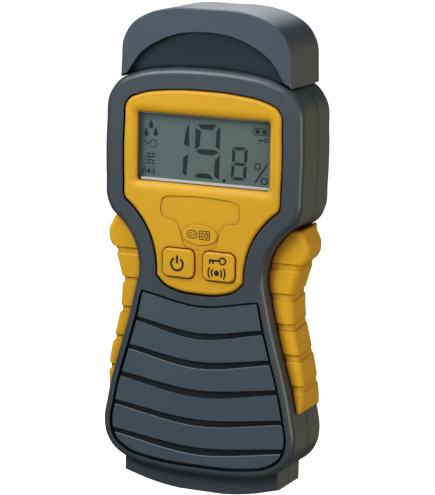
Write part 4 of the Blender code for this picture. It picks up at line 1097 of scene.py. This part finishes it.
def grip_section(height, side, end_round):
    """One closed section of a grip, from its inner front edge round to its inner back edge."""
    edge = half_width(body, height)
    down = sunk(height) + end_round
    inner = edge + GAP
    lean = min(1.0, bulge(height) / GRIP_FULL_BULGE)
    front = max(edge + bulge(height) + lean * GRIP_FRONT_SPREAD - down, inner + GAP)
    rear = max(edge + bulge(height) - lean * GRIP_BACK_DRAFT - down, inner + GAP)
    near, far = GRIP_NEAR + down, GRIP_FAR
    corner = min(GRIP_CORNER, (front - inner) * 0.8)
    back_corner = min(GRIP_BACK_CORNER, (rear - inner) * 0.8)
    line = [Vector((inner, near))]
    line += arc((front - corner, near + corner), corner, -90, 0, 8)
    line += arc((rear - back_corner, far - back_corner), back_corner, 0, 90, 8)
    turn = math.degrees(math.asin((GRIP_FAR - DEPTH + BACK_ROUND) / BACK_ROUND))
    line += arc((inner - BACK_ROUND, DEPTH - BACK_ROUND), BACK_ROUND, turn, 0, 4)
    return [(side * x, FRONT + depth, height) for x, depth in line]


def grip(name, side, stands_for):
    """A grip, lofted from bottom to top, with both of its ends rounded off."""
    low, high = GRIP_BULGE[0][0], GRIP_BULGE[-1][0]
    count = round((high - low) / SECTION_STEP)
    rings = []
    for i in range(count + 1):
        height = low + (high - low) * i / count
        to_end = min(height - low, high - height)
        away = max(0.0, 1 - to_end / GRIP_END)
        rings.append(grip_section(height, side, GRIP_END_DROP * (1 - math.sqrt(1 - away * away))))
    return finished(new_piece(name, lofted(rings)), grip_yellow, "housing", "yellow_rubber", stands_for)


grip("left_side_grip", -1, "left_grip")
grip("right_side_grip", 1, "right_grip")

# %% [markdown]
# ## Cap
# The cap is a thick dome that slips over the electrodes. Its lower edge arches with the head's top, and a
# thumb scallop leans into its front. The scallop's cutter is a slab cut into bands by planes, whose back is
# then pushed in further band by band, so that the recess is steep under its rim and levels out at the cap's
# edge. The cut faces are painted darker, as painted shade for the recess, with a coarser finish.

# %% Cap
CAP_NEAR = 1.3 * MM
CAP_WALL = 2.2 * MM
CAP_HALF = HEAD_HALF - 5 * MM
CAP_TOP = HEAD_TOP + 19.6 * MM
CAP_LOW = HEAD_TOP - 4.7 * MM
CAP_ABOVE_HEAD = 0.6 * MM
CAP_ROUND = 1.0 * MM
CAP_EDGE = 0.3 * MM
SCALLOP_TOP = HEAD_TOP + 12 * MM
SCALLOP_RIM, SCALLOP_DEEP = 0.5 * MM, 1.85 * MM
SCALLOP_BANDS = 14


def cap_outline():
    """The dome, closed below by the arch."""
    dome = smooth_line(both_sides((
        (CAP_HALF, CAP_LOW),
        (CAP_HALF - 0.2 * MM, CAP_LOW + 5.5 * MM),
        (CAP_HALF - 0.9 * MM, CAP_LOW + 13.2 * MM),
        (CAP_HALF - 3.5 * MM, CAP_LOW + 17.7 * MM),
        (CAP_HALF - 10.4 * MM, CAP_TOP - 2.2 * MM),
        (CAP_HALF - 17.6 * MM, CAP_TOP - 0.4 * MM),
        (0.0, CAP_TOP),
    )))
    edge = inset(body, -CAP_ABOVE_HEAD)
    arch = [point for point in edge if abs(point.x) < CAP_HALF - 1 * MM and point.y > CAP_LOW]
    return dome + sorted(arch, key=lambda point: point.x)


SCALLOP_LOW = CAP_LOW + 2 * MM
scallop_line = smooth_line(both_sides((
    (CAP_HALF - 2.6 * MM, SCALLOP_LOW),
    (CAP_HALF - 6.8 * MM, SCALLOP_LOW + 6.2 * MM),
    (CAP_HALF - 14.2 * MM, SCALLOP_TOP - 3.5 * MM),
    (CAP_HALF - 21.4 * MM, SCALLOP_TOP - 0.9 * MM),
    (0.0, SCALLOP_TOP),
)))
for side in (-1, 1):
    scallop_line.append(Vector((side * (CAP_HALF - 1.4 * MM), CAP_LOW - 2 * MM)))


def scallop():
    """The thumb scallop's cutter."""
    shape = slab(scallop_line, CAP_NEAR - WALL, CAP_NEAR)
    for number in range(1, SCALLOP_BANDS):
        height = SCALLOP_TOP - (SCALLOP_TOP - CAP_LOW) * (number / SCALLOP_BANDS) ** 2
        bmesh.ops.bisect_plane(shape, geom=shape.verts[:] + shape.edges[:] + shape.faces[:],
                               plane_co=(0, 0, height), plane_no=(0, 0, 1))
    for vertex in shape.verts:
        if vertex.co.y > FRONT + CAP_NEAR - MM / 10:
            left = max(0.0, 1 - (SCALLOP_TOP - vertex.co.z) / (SCALLOP_TOP - CAP_LOW))
            vertex.co.y += SCALLOP_RIM + (SCALLOP_DEEP - SCALLOP_RIM) * (1 - left**3)
    return shape


outline = cap_outline()
shape = slab(outline, CAP_NEAR, DEPTH)
round_rim(shape, CAP_NEAR, CAP_ROUND, segments=6)
round_rim(shape, DEPTH, CAP_ROUND, segments=6)
cap = new_piece("slip_on_cap", shape)
cavity_half = CAP_HALF - CAP_WALL
over_arch = HEAD_TOP + CAP_ABOVE_HEAD + CAP_WALL + GAP
inside = inset(outline, CAP_WALL)
ceiling = [point for point in inside if point.y > over_arch and abs(point.x) < cavity_half]
mouth = [Vector((-cavity_half, CAP_LOW - WALL)), Vector((cavity_half, CAP_LOW - WALL))]
cut(cap, slab(mouth + sorted(ceiling, key=lambda point: -point.x), CAP_NEAR + CAP_WALL, DEPTH - CAP_WALL))
cut(cap, scallop())
soften(cap, CAP_EDGE, segments=3, angle=38)
finished(cap, cap_slate_lit_copy, "cap", "slate_plastic", "protective_cap")
# The scallop's cut faces get the darker slate, painted shade for the recess.
cap.data.materials.append(painted_shade_slate)
for face in cap.data.polygons:
    depth = face.center.y - FRONT - CAP_NEAR
    within = abs(face.center.x) < half_width(scallop_line, face.center.z)
    if within and MM / 10 < depth < CAP_WALL and face.normal.y < -0.3:
        face.material_index = 1

# %% [markdown]
# ## Battery door
# The door is a plain panel whose upper end has five shallow finger grooves, each cut by a thin slab with
# round ends. All of its edges are eased, so that a fine dark line shows where it meets the casing.

# %% Battery door
DOOR_CORNER, DOOR_ROUND, DOOR_EDGE = 1.2 * MM, 0.35 * MM, 0.2 * MM
GROOVE_COUNT, GROOVE_FIRST, GROOVE_PITCH = 5, 5 * MM, 2.4 * MM
GROOVE_LONG_HALF, GROOVE_HALF, GROOVE_DEEP = 7 * MM, 0.6 * MM, 0.7 * MM
GROOVE_CORNER = 0.59 * MM
door_half_z = (door_high.z - door_low.z) / 2
door_z = (door_high.z + door_low.z) / 2
door_line = rounded_box(door_high.x, door_half_z, DOOR_CORNER, (0.0, door_z))
shape = slab(door_line, door_low.y - FRONT, door_high.y - FRONT)
round_rim(shape, door_high.y - FRONT, DOOR_ROUND, segments=3)
door = new_piece("battery_cover", shape)
for number in range(GROOVE_COUNT):
    groove_z = door_high.z - GROOVE_FIRST - GROOVE_PITCH * number
    groove = rounded_box(GROOVE_LONG_HALF, GROOVE_HALF, GROOVE_CORNER, (0.0, groove_z))
    cut(door, slab(groove, DEPTH - GROOVE_DEEP, DEPTH + WALL))
soften(door, DOOR_EDGE, segments=3, angle=50)
finished(door, slate, "door", "slate_plastic", "battery_door")

# %% [markdown]
# ## What the CAD already has right
# Pins, nuts, screws, boards and leads are hidden or small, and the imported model's shapes are right for
# them. They keep their meshes and only get a finish.

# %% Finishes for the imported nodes
FINISH_OF = {
    black: ("electrode_carrier", "microcontroller", "buzzer", "battery_snap", "battery_lead_black",
            "lcd_frame"),
    steel: ("electrode_left", "electrode_right", "electrode_nut_left", "electrode_nut_right",
            "power_switch", "hold_switch", *(f"housing_screw_{number}" for number in range(1, 5)),
            *(f"board_screw_{number}" for number in range(1, 4))),
    red: ("electrode_lead_left", "electrode_lead_right", "battery_lead_red"),
    board_green: ("main_board",),
    foam: ("battery_foam", "zebra_strip"),
    jacket: ("battery_block",),
}
for look, names in FINISH_OF.items():
    for name in names:
        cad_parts[name].material_slots[0].material = look
print(sum(len(names) for names in FINISH_OF.values()), "packed nodes finished")

# %% [markdown]
# ## Studio
# A pale sweep, a floor that curves up into a wall, glows a little, so that it stays white. It is kept out
# of the meter's own shading, and a dark card that the camera can't see stops light from below. Both are
# staged, since they belong to the studio and not to the meter.

# %% Sweep
SWEEP = ((-3.0, 0.0), (2.6, 0.0), (3.9, 0.5), (4.4, 1.6), (4.5, 4.0))
SWEEP_HALF = 4.0
SWEEP_GLOW = 1.1
sweep_shape = bmesh.new()
line = [sweep_shape.verts.new((-SWEEP_HALF, p.x, p.y)) for p in smooth_line(SWEEP, step=0.05)]
edges = [sweep_shape.edges.new(pair) for pair in zip(line, line[1:])]
move_made(sweep_shape, bmesh.ops.extrude_edge_only(sweep_shape, edges=edges), (2 * SWEEP_HALF, 0, 0))
sweep = new_piece("sweep", sweep_shape)
sweep.data.shade_smooth()
sweep.visible_diffuse = False
sweep.visible_glossy = False
sweep.visible_shadow = False
paper = plastic("pale_paper", (0.93, 0.93, 0.93), 0.8, grain=0.02, drift=0.003)
paper_shader = paper.node_tree.nodes["Principled BSDF"]
paper_shader.inputs["Emission Color"].default_value = (1, 1, 1, 1)
paper_shader.inputs["Emission Strength"].default_value = SWEEP_GLOW
sweep.data.materials.append(paper)
sweep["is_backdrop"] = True
print("sweep:", len(sweep.data.polygons), "faces")

# %% Card under the meter
CARD_HALF = 0.6
CARD_DROP = 0.5 * MM
card_shape = bmesh.new()
bmesh.ops.create_grid(card_shape, x_segments=4, y_segments=4, size=CARD_HALF)
bmesh.ops.translate(card_shape, verts=card_shape.verts, vec=(0, 0, -CARD_DROP))
card = new_piece("dark_card", card_shape)
card.data.materials.append(plastic("dark_card", (0.02, 0.02, 0.02), 0.9, grain=0.05))
card.visible_camera = False
card.visible_shadow = False
card.visible_glossy = False
card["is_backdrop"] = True

# %% [markdown]
# ## Lamps
# A near lamp high on the left fades from head to foot, and one above it lights the tops. A cool one low on
# the left puts a sheen on the slate, and a wide one in front fills the shadows. A warm one low behind tints
# the flanks olive, one from the right lifts the grips, and the last lights the back.

# %% Lamps and surround
AIM = Vector((0, 0, 0.085))
COOL, WARM = (0.95, 0.98, 1.0), (1.0, 0.87, 0.50)


def lamp(name, place, size, power, colour):
    """A square soft lamp that faces the middle of the meter."""
    light = bpy.data.lights.new(name, "AREA")
    light.size, light.energy, light.color = size, power, colour
    made = bpy.data.objects.new(name, light)
    bpy.context.scene.collection.objects.link(made)
    made.location = place
    made.rotation_euler = (AIM - Vector(place)).to_track_quat("-Z", "Y").to_euler()
    made.visible_camera = False


lamp("key_lamp", (-0.22, -0.34, 0.42), 0.28, 2.4, COOL)
lamp("top_lamp", (-0.10, -0.25, 0.90), 0.4, 1.1, (0.90, 0.95, 1.0))
lamp("sheen_lamp", (-0.42, -0.95, 0.08), 0.24, 0.35, (0.70, 0.86, 1.0))
lamp("fill_lamp", (0.30, -1.20, 0.35), 1.0, 2.2, (0.97, 0.98, 1.0))
lamp("warm_lamp", (0.50, 0.95, -0.05), 0.8, 0.70, WARM)
lamp("side_lamp", (0.85, -0.38, 0.08), 0.5, 4.2, (1.0, 0.92, 0.74))
lamp("back_lamp", (-0.45, 1.20, 0.60), 0.6, 2.6, COOL)

SURROUND_STRENGTH = 0.06
world = bpy.data.worlds.new("surround")
world.use_nodes = True
surround = world.node_tree.nodes["Background"]
surround.inputs["Color"].default_value = (0.95, 0.97, 1.0, 1)
surround.inputs["Strength"].default_value = SURROUND_STRENGTH
print(len(bpy.data.lights), "lamps")
bpy.context.scene.world = world
bpy.context.scene.view_settings.view_transform = "Standard"

# %% [markdown]
# ## Camera
# The camera stands to the right and a little above, and a long lens keeps the upright edges nearly parallel.
# Its axes are worked out from its two angles and its small roll, and set as the columns of its matrix.

# %% Camera
AZIMUTH, ELEVATION, ROLL_ANGLE = math.radians(23.874), math.radians(10.867), math.radians(1.189)
CAMERA_DISTANCE = 0.8657
LENS, SENSOR = 189.7, 36
target = Vector((6.43 * MM, FRONT, 85.93 * MM))
level = math.cos(ELEVATION)
away = Vector((math.sin(AZIMUTH) * level, -math.cos(AZIMUTH) * level, math.sin(ELEVATION)))
right = (-away).cross(Vector((0, 0, 1))).normalized()
up = away.cross(right)
across = right * math.cos(ROLL_ANGLE) + up * math.sin(ROLL_ANGLE)
upwards = up * math.cos(ROLL_ANGLE) - right * math.sin(ROLL_ANGLE)
camera = bpy.data.objects.new("camera", bpy.data.cameras.new("camera"))
camera.data.lens = LENS
camera.data.sensor_width = SENSOR
camera.data.clip_start, camera.data.clip_end = 0.05, 20
camera.matrix_world = Matrix((across, upwards, away)).transposed().to_4x4()
camera.location = target + away * CAMERA_DISTANCE
bpy.context.scene.collection.objects.link(camera)
bpy.context.scene.camera = camera
print("camera at", [round(value, 3) for value in camera.location])

# %% Finish
visual_low, visual_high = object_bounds()
sizes = {
    "cad": [list(cad_low), list(cad_high)],
    "visual": [list(visual_low), list(visual_high)],
}
for name, box in sizes.items():
    print(name, "box in mm:", [[round(value / MM, 2) for value in corner] for corner in box])
